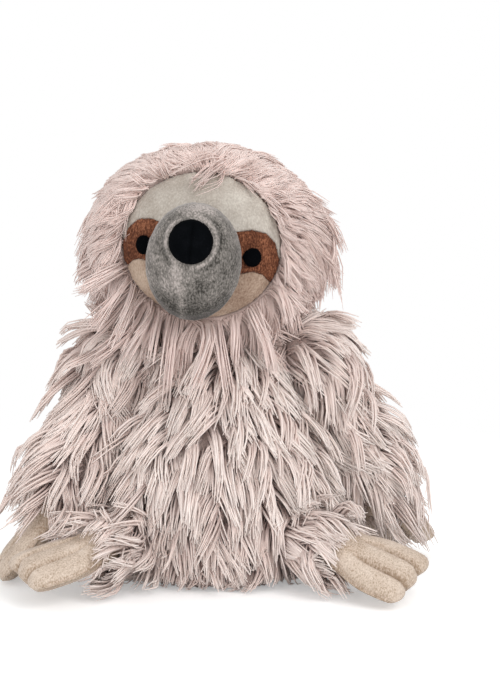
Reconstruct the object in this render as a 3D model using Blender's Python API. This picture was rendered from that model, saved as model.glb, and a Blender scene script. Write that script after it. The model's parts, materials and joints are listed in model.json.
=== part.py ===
"""A seated plush sloth, about 0.3 m tall: a pear of long-pile fabric on a flat seat, a ball head
under a hood with an inset five-piece face and a stuffed muzzle, and four sewn limbs that end in
three-clawed mitten paws. Every fabric cover is a shell of its own over its own filling.

The toy faces -Y, +Z is up, and left and right are the toy's own. The origin is on the floor, in the
middle of the seat.
"""

import math

import bmesh
import bpy
from mathutils import Matrix, Vector
from mathutils.bvhtree import BVHTree

# Fabrics. A cover's outer face is the top of its dense lower pile.
PILE_THICKNESS = 0.008
FACE_FABRIC = 0.004
MUZZLE_FABRIC = 0.003
PAW_FABRIC = 0.003
PAW_FILLING_GAP = 0.0011
SEAM_GAP = 0.0004
FILLING_GAP = 0.0005
# Facets meet in a visible edge above this angle, and joint dishes are balls with this many sides.
SHARP_ANGLE = 50.0
DISH_SIDES = 20

# Torso, a pear that narrows to the dome which carries the head.
TORSO_HALF_WIDTH = 0.075
TORSO_HALF_DEPTH = 0.071
BELLY_FORWARD = 0.0005
NECK_DOME_RADIUS = 0.040
NECK_OPENING_RADIUS = 0.016
TORSO_SIDES = 24
# Height, half-width, half-depth and forward lean of each ring below the dome.
TORSO_RING_SHARES = (
    (0.00, 0.64, 0.62, 0.5),
    (0.04, 0.75, 0.73, 0.7),
    (0.12, 0.84, 0.83, 0.9),
    (0.24, 0.90, 0.89, 1.0),
    (0.38, 0.95, 0.94, 1.0),
    (0.52, 0.95, 0.94, 0.8),
    (0.66, 0.88, 0.86, 0.5),
    (0.82, 0.78, 0.72, 0.2),
)
DOME_RING_SHARES = (0.0, 0.42, 0.76, 1.0)

# Bag of pellets that weighs the seat down.
POUCH_HALF_WIDTH = 0.042
POUCH_HALF_DEPTH = 0.038
POUCH_HEIGHT = 0.026
POUCH_RING_SHARES = ((0.0, 0.55), (0.12, 0.86), (0.42, 1.0), (0.72, 0.86), (0.92, 0.5))
POUCH_SIDES = 16
# The pouch's recess in the filling runs on below it by this many clearances.
RECESS_OVERRUN_SHARE = 4

# Arms. The pivot is the middle of the round arm root, which sits in a dish in the torso's side.
SHOULDER_HALF_SPAN = 0.064
SHOULDER_HEIGHT = 0.146
SHOULDER_FORWARD = 0.002
ARM_SPLAY = 24.0
LEFT_ARM_SWING = -11.0
RIGHT_ARM_SWING = 10.0
ARM_LENGTH = 0.112
ARM_ROOT_RADIUS = 0.028
ARM_RADIUS = 0.022
ARM_REST_GAP = 0.0005
# Place along the arm and radius, from the round root to the wrist.
ARM_RING_SHARES = ((0.27, 0.97), (0.45, 0.97), (0.62, 1.00), (0.77, 1.00), (0.88, 0.96))
ROOT_RING_SHARES = (0.24, 0.50, 0.76, 1.0)
LIMB_SIDES = 16

# Legs, short and stubby.
HIP_HALF_SPAN = 0.057
HIP_FORWARD = 0.043
HIP_HEIGHT = 0.032
LEG_LENGTH = 0.030
LEG_ROOT_RADIUS = 0.0215
LEG_RADIUS = 0.018
LEFT_LEG_HEADING = -40.0
RIGHT_LEG_HEADING = -44.0
LEG_DROOP = 3.0
LEG_RING_SHARES = ((0.48, 1.02),)

# Wrists and ankles: the paw's round root sits in a dish in the end of the limb.
CUFF_RADIUS = 0.0195
CUFF_SETBACK = 0.005
CUFF_WALL = 0.007
CUFF_LIP_SHARE = 0.94
# Rings of the dish in the limb's filling, from its rim inwards.
DISH_RING_SHARES = (1.0, 0.5)
PAW_ROOT_RADIUS = 0.015

# Paws, flat mittens with two sewn channels that make three claws.
PAW_LENGTH = 0.056
PAW_HALF_WIDTH = 0.0245
PAW_HALF_THICKNESS = 0.0100
PAW_EDGE = 0.0009
CLAW_NOTCH = 0.007
PAW_OPENING_RADIUS = 0.006
# Place along the paw, half-width, half-thickness, depth of the channels and scallop of the tips.
PAW_RING_SHARES = (
    (0.16, 0.67, 1.12, 0.05, 0.0),
    (0.32, 0.82, 1.08, 0.28, 0.0),
    (0.50, 0.97, 1.00, 0.46, 0.0),
    (0.68, 1.00, 0.92, 0.52, 0.10),
    (0.84, 0.96, 0.76, 0.55, 0.42),
    (0.95, 0.89, 0.50, 0.55, 0.80),
)
PAW_TIP_WIDTH_SHARE = 0.80
# Places across the paw, from its middle to its edge. A channel lies a third of the way out.
PAW_ACROSS_SHARES = (0.0, 0.20, 0.333, 0.48, 0.80, 1.0)
# How far the round root goes on before the flat mitten starts, and its rings up to there.
PAW_ROOT_TURN = 95.0
PAW_ROOT_RING_SHARES = (0.0, 0.5, 1.0)
# Direction of each paw, and the way across its claws, as the toy sits.
PAW_DIRECTION_SHARES = {
    "left_hand": ((0.38, 0.60, -0.70), (-1.0, 0.35, 0.0)),
    "right_hand": ((-0.66, 0.0, -0.75), (0.0, 1.0, 0.10)),
    "left_foot": ((0.83, -0.46, -0.27), (0.42, 0.80, 0.43)),
    "right_foot": ((-0.86, -0.44, -0.19), (-0.44, 0.86, 0.16)),
}

# Head: a ball, whose face disc looks a little to the toy's right and up.
HEAD_CENTRE_X = -0.0070
HEAD_CENTRE_Y = -0.006
HEAD_ABOVE_NECK = 0.0879
HEAD_HALF_WIDTH = 0.069
HEAD_HALF_HEIGHT = 0.063
HEAD_HALF_DEPTH = 0.062
FACE_YAW = 6.0
FACE_PITCH = 5.9
FACE_ROLL = 5.8
FACE_EDGE_ANGLE = 54.6
# The fur of the hood stands out over the ball, from nothing at the face to its full swell behind it.
HOOD_SIDE_SWELL = 0.010
HOOD_TOP_SWELL = 0.002
HOOD_BACK_SWELL = 0.010
HOOD_SWELL_SHARES = (0.0, 0.7, 1.0)
HEAD_SIDES = 26
HOOD_RINGS = 7
# Rings of the filling inside the face's edge, from the middle of the face outwards.
FACE_FILL_RING_SHARES = (0.3, 0.65)

# Muzzle, a drooping egg whose tip carries the nose.
MUZZLE_HALF_WIDTH = 0.031
MUZZLE_HALF_HEIGHT = 0.038
MUZZLE_REACH = 0.030
MUZZLE_SIDES = 22
# Reach, height of the ring's middle, half-width and half-height, from the base seam to the tip.
MUZZLE_RING_SHARES = (
    (0.00, -0.18, 0.87, 0.80),
    (0.16, -0.24, 0.97, 0.94),
    (0.36, -0.26, 1.00, 1.00),
    (0.58, -0.21, 0.93, 0.93),
    (0.77, -0.13, 0.77, 0.76),
    (0.91, -0.04, 0.53, 0.52),
    (0.98, 0.02, 0.26, 0.26),
)
MUZZLE_TIP_SHARE = 0.03
# Rings of the filling where it lies on the head's, from the middle outwards.
MUZZLE_BASE_RING_SHARES = (0.34, 0.67, 1.0)

# Rows of every face panel, and how far along a seam its direction is measured.
SEAM_ROWS = 4
SEAM_STEP_SHARE = 0.05
# Columns of the panels round the muzzle.
FOREHEAD_COLUMNS = 12
PATCH_COLUMNS = 5
CHEEK_COLUMNS = 6
# Face seams: where each starts round the muzzle, its middle on the disc and where it meets the hood.
UPPER_SEAM_START = 36.0
UPPER_SEAM_END = -5.0
UPPER_SEAM_MIDDLE_SHARES = (0.80, 0.26)
LOWER_SEAM_START = -28.0
LOWER_SEAM_END = -24.0
LOWER_SEAM_MIDDLE_SHARES = (0.70, -0.27)
CHIN_SEAM_MIDDLE_SHARES = (0.0, -0.85)

# Nose and eyes.
NOSE_RADIUS = 0.0142
NOSE_RISE_SHARE = 0.09
NOSE_THICKNESS = 0.0045
EYE_RADIUS = 0.0062
EYE_THICKNESS = 0.0022
EYE_OUT_SHARE = 0.655
EYE_DROP_SHARE = -0.075
PAD_RING_SHARES = ((0.36, 1.0), (0.70, 0.88), (0.92, 0.58), (1.0, 0.22))
PAD_SIDES = 16


def surface_material(name, colour, roughness):
    """Plain material of one fabric."""
    material = bpy.data.materials.new(name)
    material.use_nodes = True
    shader = material.node_tree.nodes["Principled BSDF"]
    shader.inputs["Base Color"].default_value = (*colour, 1.0)
    shader.inputs["Roughness"].default_value = roughness
    shader.inputs["Metallic"].default_value = 0.0
    return material


def clear_scene():
    """Start from an empty scene."""
    for thing in list(bpy.data.objects):
        bpy.data.objects.remove(thing, do_unlink=True)


def skin(rings, first_face, last_face):
    """Points and faces of a closed surface through rings of equal counts, with these end faces."""
    count = len(rings[0])
    points = [Vector(point) for ring in rings for point in ring]
    faces = []
    for row in range(len(rings) - 1):
        for step in range(count):
            near, far = row * count, (row + 1) * count
            after = (step + 1) % count
            faces.append((near + step, near + after, far + after, far + step))
    for pole, row, order in ((first_face, 0, -1), (last_face, len(rings) - 1, 1)):
        start = row * count
        if pole == "seam":
            faces += [face[::order] for face in seam_faces(start, count)]
            continue
        points.append(Vector(pole))
        top = len(points) - 1
        for step in range(count):
            faces.append((start + step, start + (step + 1) % count, top)[::order])
    return points, faces


def seam_faces(start, count):
    """Faces that close a flat ring by joining its two sides, point by point."""
    faces = []
    for step in range(count // 2):
        corners = (step, step + 1, (count - step - 1) % count, (count - step) % count)
        face = []
        for corner in corners:
            if start + corner not in face:
                face.append(start + corner)
        faces.append(tuple(face))
    return faces


def solid(name, points, faces, material):
    """Object with these faces, turned to face outwards, and smooth apart from its real edges."""
    volume = 0.0
    for face in faces:
        for step in range(1, len(face) - 1):
            a, b, c = points[face[0]], points[face[step]], points[face[step + 1]]
            volume += a.dot(b.cross(c))
    if volume < 0.0:
        faces = [tuple(face)[::-1] for face in faces]
    mesh = bpy.data.meshes.new(name)
    mesh.from_pydata(points, [], faces)
    mesh.shade_smooth()
    mesh.set_sharp_from_angle(angle=math.radians(SHARP_ANGLE))
    mesh.materials.append(material)
    thing = bpy.data.objects.new(name, mesh)
    bpy.context.scene.collection.objects.link(thing)
    return thing


def inset_profile(profile, depth):
    """The profile moved in by this depth, each ring square to the wall beside it."""
    moved = []
    for index, (width, deep, lean, height) in enumerate(profile):
        before = profile[index - 1] if index else (0.0, 0.0, lean, height)
        after = profile[index + 1] if index + 1 < len(profile) else profile[index]
        normal = Vector((0.0, 0.0))
        for low, high in ((before, (width, deep, lean, height)), ((width, deep, lean, height), after)):
            step = Vector((high[3] - low[3], low[0] - high[0]))
            if step.length > 0.0:
                normal += step.normalized()
        normal.normalize()
        across = depth * normal.x
        moved.append((width - across, deep - across, lean, height - depth * normal.y))
    return moved


def oval_rings(profile, sides):
    """A ring of points for each half-width, half-depth, forward lean and height."""
    rings = []
    for width, deep, lean, height in profile:
        ring = []
        for step in range(sides):
            angle = math.tau * step / sides
            ring.append((width * math.cos(angle), deep * math.sin(angle) - lean, height))
        rings.append(ring)
    return rings


def ball_cutter(name, parent, radius):
    """Hidden ball on a joint that cuts a dish. Its flat facets all lie outside this radius."""
    mesh = bpy.data.meshes.new(name)
    form = bmesh.new()
    outside = radius / math.cos(math.pi / DISH_SIDES)
    rows = DISH_SIDES // 2 + 2
    bmesh.ops.create_uvsphere(form, u_segments=DISH_SIDES, v_segments=rows, radius=outside)
    form.to_mesh(mesh)
    form.free()
    cutter = bpy.data.objects.new(name, mesh)
    bpy.context.scene.collection.objects.link(cutter)
    cutter.parent = parent
    cutter.hide_render = True
    cutter.display_type = "WIRE"
    return cutter


def cut(thing, cutter):
    """Take the cutter's form out of this piece."""
    modifier = thing.modifiers.new(cutter.name, "BOOLEAN")
    modifier.operation = "DIFFERENCE"
    modifier.solver = "EXACT"
    modifier.object = cutter


def frame(origin, along, across):
    """World matrix with +Z along a limb and +X on the given axis, made square to it."""
    along = Vector(along).normalized()
    across = Vector(across)
    across = (across - along * across.dot(along)).normalized()
    turn = Matrix((across, along.cross(across), along)).transposed()
    return Matrix.Translation(origin) @ turn.to_4x4()


def joint_empty(name, world, parent=None):
    """Empty on a joint, placed in the world and carried by its parent."""
    empty = bpy.data.objects.new(name, None)
    bpy.context.scene.collection.objects.link(empty)
    empty["world"] = [value for row in world for value in row]
    if parent is not None:
        empty.parent = parent
        empty.matrix_basis = world_of(parent).inverted() @ world
    else:
        empty.matrix_basis = world
    return empty


def world_of(empty):
    """World matrix that an empty was placed with."""
    values = list(empty["world"])
    return Matrix([values[row * 4 : row * 4 + 4] for row in range(4)])


def carry(thing, parent, local=None):
    """Hang a piece on a joint's empty."""
    thing.parent = parent
    thing.matrix_basis = local if local is not None else Matrix.Identity(4)
    return thing


def torso_side_reach():
    """How far out the torso's sides may come, square to the arms that lie against them."""
    splay = math.radians(ARM_SPLAY)
    pivot = SHOULDER_HALF_SPAN * math.cos(splay) + SHOULDER_HEIGHT * math.sin(splay)
    return pivot - ARM_RADIUS - ARM_REST_GAP


def neck_height():
    """Height of the dome's middle, so that the dome runs on smoothly from the sloping sides."""
    return (torso_side_reach() - NECK_DOME_RADIUS) / math.sin(math.radians(ARM_SPLAY))


def torso_profile():
    """Half-width, half-depth, forward lean and height of the torso, from its seat to the neck."""
    splay = math.radians(ARM_SPLAY)
    tangent = neck_height() + NECK_DOME_RADIUS * math.sin(splay)
    profile = []
    for height, width, depth, lean in TORSO_RING_SHARES:
        level = height * tangent
        pressed = (torso_side_reach() - level * math.sin(splay)) / math.cos(splay)
        half_width = min(width * TORSO_HALF_WIDTH, pressed)
        profile.append((half_width, depth * TORSO_HALF_DEPTH, lean * BELLY_FORWARD, level))
    rim = math.acos(NECK_OPENING_RADIUS / NECK_DOME_RADIUS)
    for share in DOME_RING_SHARES:
        angle = splay + (rim - splay) * share
        radius = NECK_DOME_RADIUS * math.cos(angle)
        profile.append((radius, radius, 0.0, neck_height() + NECK_DOME_RADIUS * math.sin(angle)))
    return profile


def make_torso(root, shoulders, hips, colours):
    """Cover open at the neck, its filling and the bag of pellets under it."""
    outer = torso_profile()
    inner = inset_profile(outer, PILE_THICKNESS)
    lean = outer[0][2]
    rings = oval_rings(outer, TORSO_SIDES) + oval_rings(inner, TORSO_SIDES)[::-1]
    points, faces = skin(rings, (0.0, -lean, 0.0), (0.0, -lean, PILE_THICKNESS))
    cover = carry(solid("torso_cover", points, faces, colours["long_pile"]), root)

    fill = inset_profile(outer, PILE_THICKNESS + FILLING_GAP)
    fill = [*fill[:-1:2], fill[-1]]
    top = (0.0, 0.0, neck_height() + NECK_DOME_RADIUS - FILLING_GAP)
    bottom = (0.0, -lean, PILE_THICKNESS + FILLING_GAP)
    points, faces = skin(oval_rings(fill, TORSO_SIDES), bottom, top)
    stuffing = carry(solid("torso_stuffing", points, faces, colours["filling"]), root)

    make_pouch(root, "pellet_pouch", 0.0, colours["pouch"])
    recess = make_pouch(root, "pouch_recess", FILLING_GAP, colours["pouch"])
    recess.hide_render = True
    recess.display_type = "WIRE"
    cut(stuffing, recess)
    for side, pivot in hips.items():
        cutter = ball_cutter(side + "_hip_dish", pivot, LEG_ROOT_RADIUS + SEAM_GAP)
        cut(cover, cutter)
        cut(stuffing, cutter)
    for side, pivot in shoulders.items():
        cutter = ball_cutter(side + "_shoulder_dish", pivot, ARM_ROOT_RADIUS + SEAM_GAP)
        cut(cover, cutter)


def make_pouch(root, name, swell, material):
    """Flat-bottomed cushion of pellets on the inside of the seat. A swell makes its recess."""
    floor = PILE_THICKNESS + FILLING_GAP
    lean = BELLY_FORWARD * TORSO_RING_SHARES[0][3]
    profile = []
    for height, spread in POUCH_RING_SHARES:
        width = POUCH_HALF_WIDTH * spread + swell
        depth = POUCH_HALF_DEPTH * spread + swell
        level = floor + POUCH_HEIGHT * height
        if height == 0.0:
            level -= swell * RECESS_OVERRUN_SHARE
        profile.append((width, depth, lean, level))
    top = (0.0, -lean, floor + POUCH_HEIGHT + swell)
    bottom = (0.0, -lean, profile[0][3])
    points, faces = skin(oval_rings(profile, POUCH_SIDES), bottom, top)
    return carry(solid(name, points, faces, material), root)


def limb_profile(root_radius, radius, ring_shares, length, depth):
    """Round root and swelling tube of a limb, moved in by this depth, from its root to its cuff."""
    ball = root_radius - depth
    join = math.pi - math.asin((radius * ring_shares[0][1] - depth) / ball)
    profile = []
    for share in ROOT_RING_SHARES:
        turn = join * share
        profile.append((ball * math.sin(turn), ball * math.sin(turn), 0.0, -ball * math.cos(turn)))
    for along, spread in ring_shares:
        width = radius * spread - depth
        profile.append((width, width, 0.0, length * along))
    return profile


def cuff_dish(length, radius, gap, shares):
    """Rings of the dish in a limb's end, from this radius inwards."""
    ball = PAW_ROOT_RADIUS + gap
    edge = math.asin(radius / ball)
    rings = []
    for share in shares:
        turn = edge * share
        rings.append((ball * math.sin(turn), ball * math.sin(turn), 0.0, length - ball * math.cos(turn)))
    return rings


def make_limb(side, part, pivot, sizes, colours):
    """Cover closed at its round root and open at the cuff, over its filling."""
    root_radius, radius, length, ring_shares = sizes
    inner_shares = (ring_shares[0], ring_shares[-1])[: len(ring_shares)]
    outer = limb_profile(root_radius, radius, ring_shares, length, 0.0)
    cuff = (CUFF_RADIUS, CUFF_RADIUS, 0.0, length - CUFF_SETBACK)
    inner = limb_profile(root_radius, radius, inner_shares, length, PILE_THICKNESS)
    mouth = CUFF_RADIUS - CUFF_WALL
    lip = cuff_dish(length, PAW_ROOT_RADIUS * CUFF_LIP_SHARE, SEAM_GAP, (1.0,))
    lip += cuff_dish(length, mouth, SEAM_GAP, (1.0,))
    profile = [*outer, cuff, *lip, *inner[::-1]]
    points, faces = skin(
        oval_rings(profile, LIMB_SIDES),
        (0.0, 0.0, -root_radius),
        (0.0, 0.0, PILE_THICKNESS - root_radius),
    )
    carry(solid(f"{side}_{part}_cover", points, faces, colours["long_pile"]), pivot)

    depth = PILE_THICKNESS + FILLING_GAP
    fill = limb_profile(root_radius, radius, inner_shares, length, depth)
    gap = SEAM_GAP + FILLING_GAP
    dish = cuff_dish(length, mouth - FILLING_GAP, gap, DISH_RING_SHARES)
    points, faces = skin(
        oval_rings(fill + dish, LIMB_SIDES),
        (0.0, 0.0, depth - root_radius),
        (0.0, 0.0, length - PAW_ROOT_RADIUS - gap),
    )
    carry(solid(f"{side}_{part}_stuffing", points, faces, colours["filling"]), pivot)


def lobe(across):
    """Height of the rounded claw at this place across the paw: one at its middle, zero between."""
    middle = round(across * 1.5) / 1.5
    return math.sqrt(max(0.0, 1.0 - (3.0 * (across - middle)) ** 2))


def paw_ring(place, width, thickness, channel, notch):
    """One ring of the mitten: its two faces meet along the sewn edge."""
    right = [(share, 1.0) for share in PAW_ACROSS_SHARES[::-1]]
    left = [(-share, 1.0) for share in PAW_ACROSS_SHARES[1:]]
    under = [(-share, -1.0) for share in PAW_ACROSS_SHARES[1:-1]][::-1]
    under += [(share, -1.0) for share in PAW_ACROSS_SHARES[:-1]]
    ring = []
    for across, face in right + left + under:
        plain = math.sqrt(max(0.0, 1.0 - across * across))
        height = thickness * (plain * (1.0 - channel) + lobe(across) * channel)
        back = notch * (1.0 - lobe(across))
        ring.append((width * across, face * height, place - back))
    return ring


def paw_rings(depth):
    """Rings of the mitten from its opening to its tips, moved in by this depth."""
    ball = PAW_ROOT_RADIUS - depth
    opening = math.asin(PAW_OPENING_RADIUS / ball)
    rings = []
    for share in PAW_ROOT_RING_SHARES:
        turn = opening + (math.radians(PAW_ROOT_TURN) - opening) * share
        radius = ball * math.sin(turn)
        rings.append(paw_ring(-ball * math.cos(turn), radius, radius, 0.0, 0.0))
    for along, wide, thick, channel, scallop in PAW_RING_SHARES:
        width = PAW_HALF_WIDTH * wide - depth
        thickness = PAW_HALF_THICKNESS * thick - depth
        place = (PAW_LENGTH - depth) * along
        rings.append(paw_ring(place, width, thickness, channel, CLAW_NOTCH * scallop))
    return rings


def coarse_paw_rings(depth):
    """Fewer rings, short of the tips, for what lies inside the mitten."""
    rings = paw_rings(depth)
    return [rings[0], rings[2], rings[3], rings[4], rings[6]]


def make_paw(side, part, pivot, colours):
    """Mitten cover, open where it joins the limb, over its filling."""
    tip_width = PAW_HALF_WIDTH * PAW_TIP_WIDTH_SHARE
    tip = paw_ring(PAW_LENGTH, tip_width, PAW_EDGE, 0.0, CLAW_NOTCH)
    tip = [(x, y if abs(y) > 0.0 else 0.0, z) for x, y, z in tip]
    outer = paw_rings(0.0)
    inner = coarse_paw_rings(PAW_FABRIC)
    rings = [tip, *outer[::-1], *inner]
    points, faces = skin(rings, "seam", "seam")
    carry(solid(f"{side}_{part}_cover", points, faces, colours["paw_pile"]), pivot)

    fill = coarse_paw_rings(PAW_FABRIC + PAW_FILLING_GAP)
    ball = PAW_ROOT_RADIUS - FILLING_GAP
    points, faces = skin(fill, (0.0, 0.0, -ball), "seam")
    carry(solid(f"{side}_{part}_stuffing", points, faces, colours["filling"]), pivot)


def ball_point(across, up, depth):
    """Point of the head's front, in the face's own axes, this far under the hood's outer face."""
    squash = (across / HEAD_HALF_WIDTH) ** 2 + (up / HEAD_HALF_HEIGHT) ** 2
    point = Vector((across, up, HEAD_HALF_DEPTH * math.sqrt(max(0.0, 1.0 - squash))))
    return point * (1.0 - depth / point.length)


def hood_ring(angle, depth, swell=0.0):
    """Ring of the head round the face's axis, this far under the ball, or with this share of the swell."""
    wide = HEAD_HALF_WIDTH + HOOD_SIDE_SWELL * swell
    tall = HEAD_HALF_HEIGHT + HOOD_TOP_SWELL * swell
    deep = HEAD_HALF_DEPTH + HOOD_BACK_SWELL * swell
    ring = []
    for step in range(HEAD_SIDES):
        turn = math.tau * step / HEAD_SIDES
        across = wide * math.sin(angle) * math.cos(turn)
        up = tall * math.sin(angle) * math.sin(turn)
        point = Vector((across, up, deep * math.cos(angle)))
        ring.append(point * (1.0 - depth / point.length))
    return ring


def make_head(neck, face, colours):
    """Hood open at the face and the neck, over the head's filling."""
    edge = math.radians(FACE_EDGE_ANGLE)
    angles = [edge + (math.pi - edge) * step / HOOD_RINGS for step in range(HOOD_RINGS)]
    swells = [*HOOD_SWELL_SHARES, *[HOOD_SWELL_SHARES[-1]] * (HOOD_RINGS - len(HOOD_SWELL_SHARES))]
    outer = [hood_ring(angle, 0.0, swell) for angle, swell in zip(angles, swells)]
    inner = [hood_ring(angle, PILE_THICKNESS) for angle in angles]
    back = (0.0, 0.0, -HEAD_HALF_DEPTH - HOOD_BACK_SWELL * swells[-1])
    lining = (0.0, 0.0, PILE_THICKNESS - HEAD_HALF_DEPTH)
    points, faces = skin(outer[::-1] + inner, back, lining)
    hood = carry(solid("head_cover", points, faces, colours["long_pile"]), neck, face)

    depth = PILE_THICKNESS + FILLING_GAP
    front = [edge * share for share in FACE_FILL_RING_SHARES]
    fill = [hood_ring(angle, depth) for angle in front + angles]
    points, faces = skin(
        fill, (0.0, 0.0, HEAD_HALF_DEPTH - depth), (0.0, 0.0, depth - HEAD_HALF_DEPTH)
    )
    stuffing = carry(solid("head_stuffing", points, faces, colours["filling"]), neck, face)
    cutter = ball_cutter("neck_dish", neck, NECK_DOME_RADIUS + SEAM_GAP)
    cut(hood, cutter)
    cut(stuffing, cutter)


def muzzle_outline(angle, clearance):
    """Point of the seam round the muzzle, on the face disc."""
    _, middle, wide, tall = MUZZLE_RING_SHARES[0]
    across = (MUZZLE_HALF_WIDTH * wide + clearance) * math.cos(angle)
    up = (MUZZLE_HALF_HEIGHT * tall + clearance) * math.sin(angle)
    return Vector((across, MUZZLE_HALF_HEIGHT * middle + up))


def face_outline(angle, clearance):
    """Point of the seam between the face and the hood, on the face disc."""
    edge = math.sin(math.radians(FACE_EDGE_ANGLE))
    across = (HEAD_HALF_WIDTH * edge - clearance * 2) * math.cos(angle)
    up = (HEAD_HALF_HEIGHT * edge - clearance * 2) * math.sin(angle)
    return Vector((across, up))


def seam_curve(start, middle_shares, end, share):
    """Seam of the face from the muzzle to the hood, as a curve through its middle."""
    edge = math.sin(math.radians(FACE_EDGE_ANGLE))
    first = muzzle_outline(math.radians(start), SEAM_GAP)
    last = face_outline(math.radians(end), SEAM_GAP)
    middle = Vector(
        (
            HEAD_HALF_WIDTH * edge * middle_shares[0],
            HEAD_HALF_HEIGHT * edge * middle_shares[1],
        )
    )
    pull = middle * 2.0 - (first + last) / 2.0
    left = 1.0 - share
    return first * left * left + pull * 2.0 * share * left + last * share * share


def panel_seam(seam, shift, share):
    """A seam's own side, half a gap away from its middle."""
    start, middle_shares, end = seam
    here = seam_curve(start, middle_shares, end, share)
    ahead = seam_curve(start, middle_shares, end, min(1.0, share + SEAM_STEP_SHARE))
    behind = seam_curve(start, middle_shares, end, max(0.0, share - SEAM_STEP_SHARE))
    along = (ahead - behind).normalized()
    return here + Vector((-along.y, along.x)) * shift


def mirrored(seam):
    """The same seam on the face's other side."""
    start, middle_shares, end = seam
    return (180.0 - start, (-middle_shares[0], middle_shares[1]), 180.0 - end)


def make_panel(name, first, last, columns, neck, face, material):
    """Face panel between two seams, going round the muzzle, as thick as its fabric."""
    rows = SEAM_ROWS

    def straight(turn, out):
        """Place on the straight line from the muzzle's seam to the hood's."""
        inner = first[0] + (last[0] - first[0]) * turn
        outer = first[2] + (last[2] - first[2]) * turn
        near = muzzle_outline(math.radians(inner), SEAM_GAP)
        return near * (1.0 - out) + face_outline(math.radians(outer), SEAM_GAP) * out

    grid = []
    for column in range(columns + 1):
        turn = column / columns
        line = []
        for row in range(rows + 1):
            out = row / rows
            near = panel_seam(first, SEAM_GAP / 2, out) - straight(0.0, out)
            far = panel_seam(last, -SEAM_GAP / 2, out) - straight(1.0, out)
            line.append(straight(turn, out) + near * (1.0 - turn) ** 3 + far * turn**3)
        grid.append(line)
    thing = slab(name, grid, material)
    return carry(thing, neck, face)


def slab(name, grid, material):
    """Closed sheet of fabric over a grid of places on the face disc."""
    top, under = PILE_THICKNESS - FACE_FABRIC, PILE_THICKNESS
    rows, columns = len(grid[0]), len(grid)
    points = [ball_point(*place, top) for line in grid for place in line]
    points += [ball_point(*place, under) for line in grid for place in line]
    lower = rows * columns
    faces = []
    for column in range(columns - 1):
        for row in range(rows - 1):
            a = column * rows + row
            faces.append((a, a + 1, a + rows + 1, a + rows))
            faces.append((lower + a, lower + a + rows, lower + a + rows + 1, lower + a + 1))
    edge = [row for row in range(rows)]
    edge += [column * rows + rows - 1 for column in range(1, columns)]
    edge += [(columns - 1) * rows + row for row in range(rows - 2, -1, -1)]
    edge += [column * rows for column in range(columns - 2, 0, -1)]
    for here, after in zip(edge, edge[1:] + edge[:1]):
        faces.append((after, here, lower + here, lower + after))
    return solid(name, points, faces, material)


def muzzle_rings(depth):
    """Rings of the muzzle from its base seam to its tip, moved in by this depth."""
    tip = HEAD_HALF_DEPTH + MUZZLE_REACH - depth
    rings = []
    for reach, middle, wide, tall in MUZZLE_RING_SHARES:
        ring = []
        for step in range(MUZZLE_SIDES):
            angle = math.tau * step / MUZZLE_SIDES
            seat = muzzle_outline(angle, -depth)
            base = ball_point(*seat, PILE_THICKNESS - FACE_FABRIC - SEAM_GAP)
            across = (MUZZLE_HALF_WIDTH * wide - depth) * math.cos(angle)
            up = MUZZLE_HALF_HEIGHT * middle
            up += (MUZZLE_HALF_HEIGHT * tall - depth) * math.sin(angle)
            level = base.z + (tip - base.z) * reach
            ring.append(Vector((across, up, level)) if reach else base)
        rings.append(ring)
    return rings


def muzzle_base(depth, spread):
    """Ring on the head's filling, where the muzzle comes through the face."""
    middle = MUZZLE_HALF_HEIGHT * MUZZLE_RING_SHARES[0][1]
    ring = []
    for step in range(MUZZLE_SIDES):
        place = muzzle_outline(math.tau * step / MUZZLE_SIDES, -depth)
        place = Vector((place.x * spread, middle + (place.y - middle) * spread))
        ring.append(ball_point(*place, PILE_THICKNESS))
    return ring


def make_muzzle(neck, face, colours):
    """Muzzle cover, open at its base, over its filling. Returns the cover's outer surface."""
    tip_up = MUZZLE_HALF_HEIGHT * MUZZLE_TIP_SHARE
    tip = HEAD_HALF_DEPTH + MUZZLE_REACH
    outer = [muzzle_base(0.0, 1.0), *muzzle_rings(0.0)]
    inner = [muzzle_base(MUZZLE_FABRIC, 1.0), *muzzle_rings(MUZZLE_FABRIC)[::2]]
    points, faces = skin(
        outer[::-1] + inner, (0.0, tip_up, tip), (0.0, tip_up, tip - MUZZLE_FABRIC)
    )
    carry(solid("muzzle_cover", points, faces, colours["muzzle_pile"]), neck, face)

    depth = MUZZLE_FABRIC + FILLING_GAP
    base = [muzzle_base(depth, share) for share in MUZZLE_BASE_RING_SHARES]
    seat = ball_point(0.0, MUZZLE_HALF_HEIGHT * MUZZLE_RING_SHARES[0][1], PILE_THICKNESS)
    fill = [*base, *muzzle_rings(depth)[::2]]
    points, faces = skin(fill, seat, (0.0, tip_up, tip - depth))
    carry(solid("muzzle_stuffing", points, faces, colours["filling"]), neck, face)
    return BVHTree.FromPolygons(*skin(outer[::-1], (0.0, tip_up, tip), (0.0, 0.0, 0.0)))


def make_pad(name, radius, thickness, seat, neck, face, material):
    """Round domed pad whose underside follows the surface that it is sewn to."""
    top, under = [], []
    for share, rise in PAD_RING_SHARES[::-1]:
        upper, lower = [], []
        for step in range(PAD_SIDES):
            angle = math.tau * step / PAD_SIDES
            out = (radius * share * math.cos(angle), radius * share * math.sin(angle))
            lower.append(seat(*out, 0.0))
            upper.append(seat(*out, thickness * rise))
        top.append(upper)
        if share in (PAD_RING_SHARES[-1][0], PAD_RING_SHARES[1][0], PAD_RING_SHARES[0][0]):
            under.append(lower)
    points, faces = skin(
        top[::-1] + under, seat(0.0, 0.0, thickness), seat(0.0, 0.0, 0.0)
    )
    return carry(solid(name, points, faces, material), neck, face)


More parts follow.
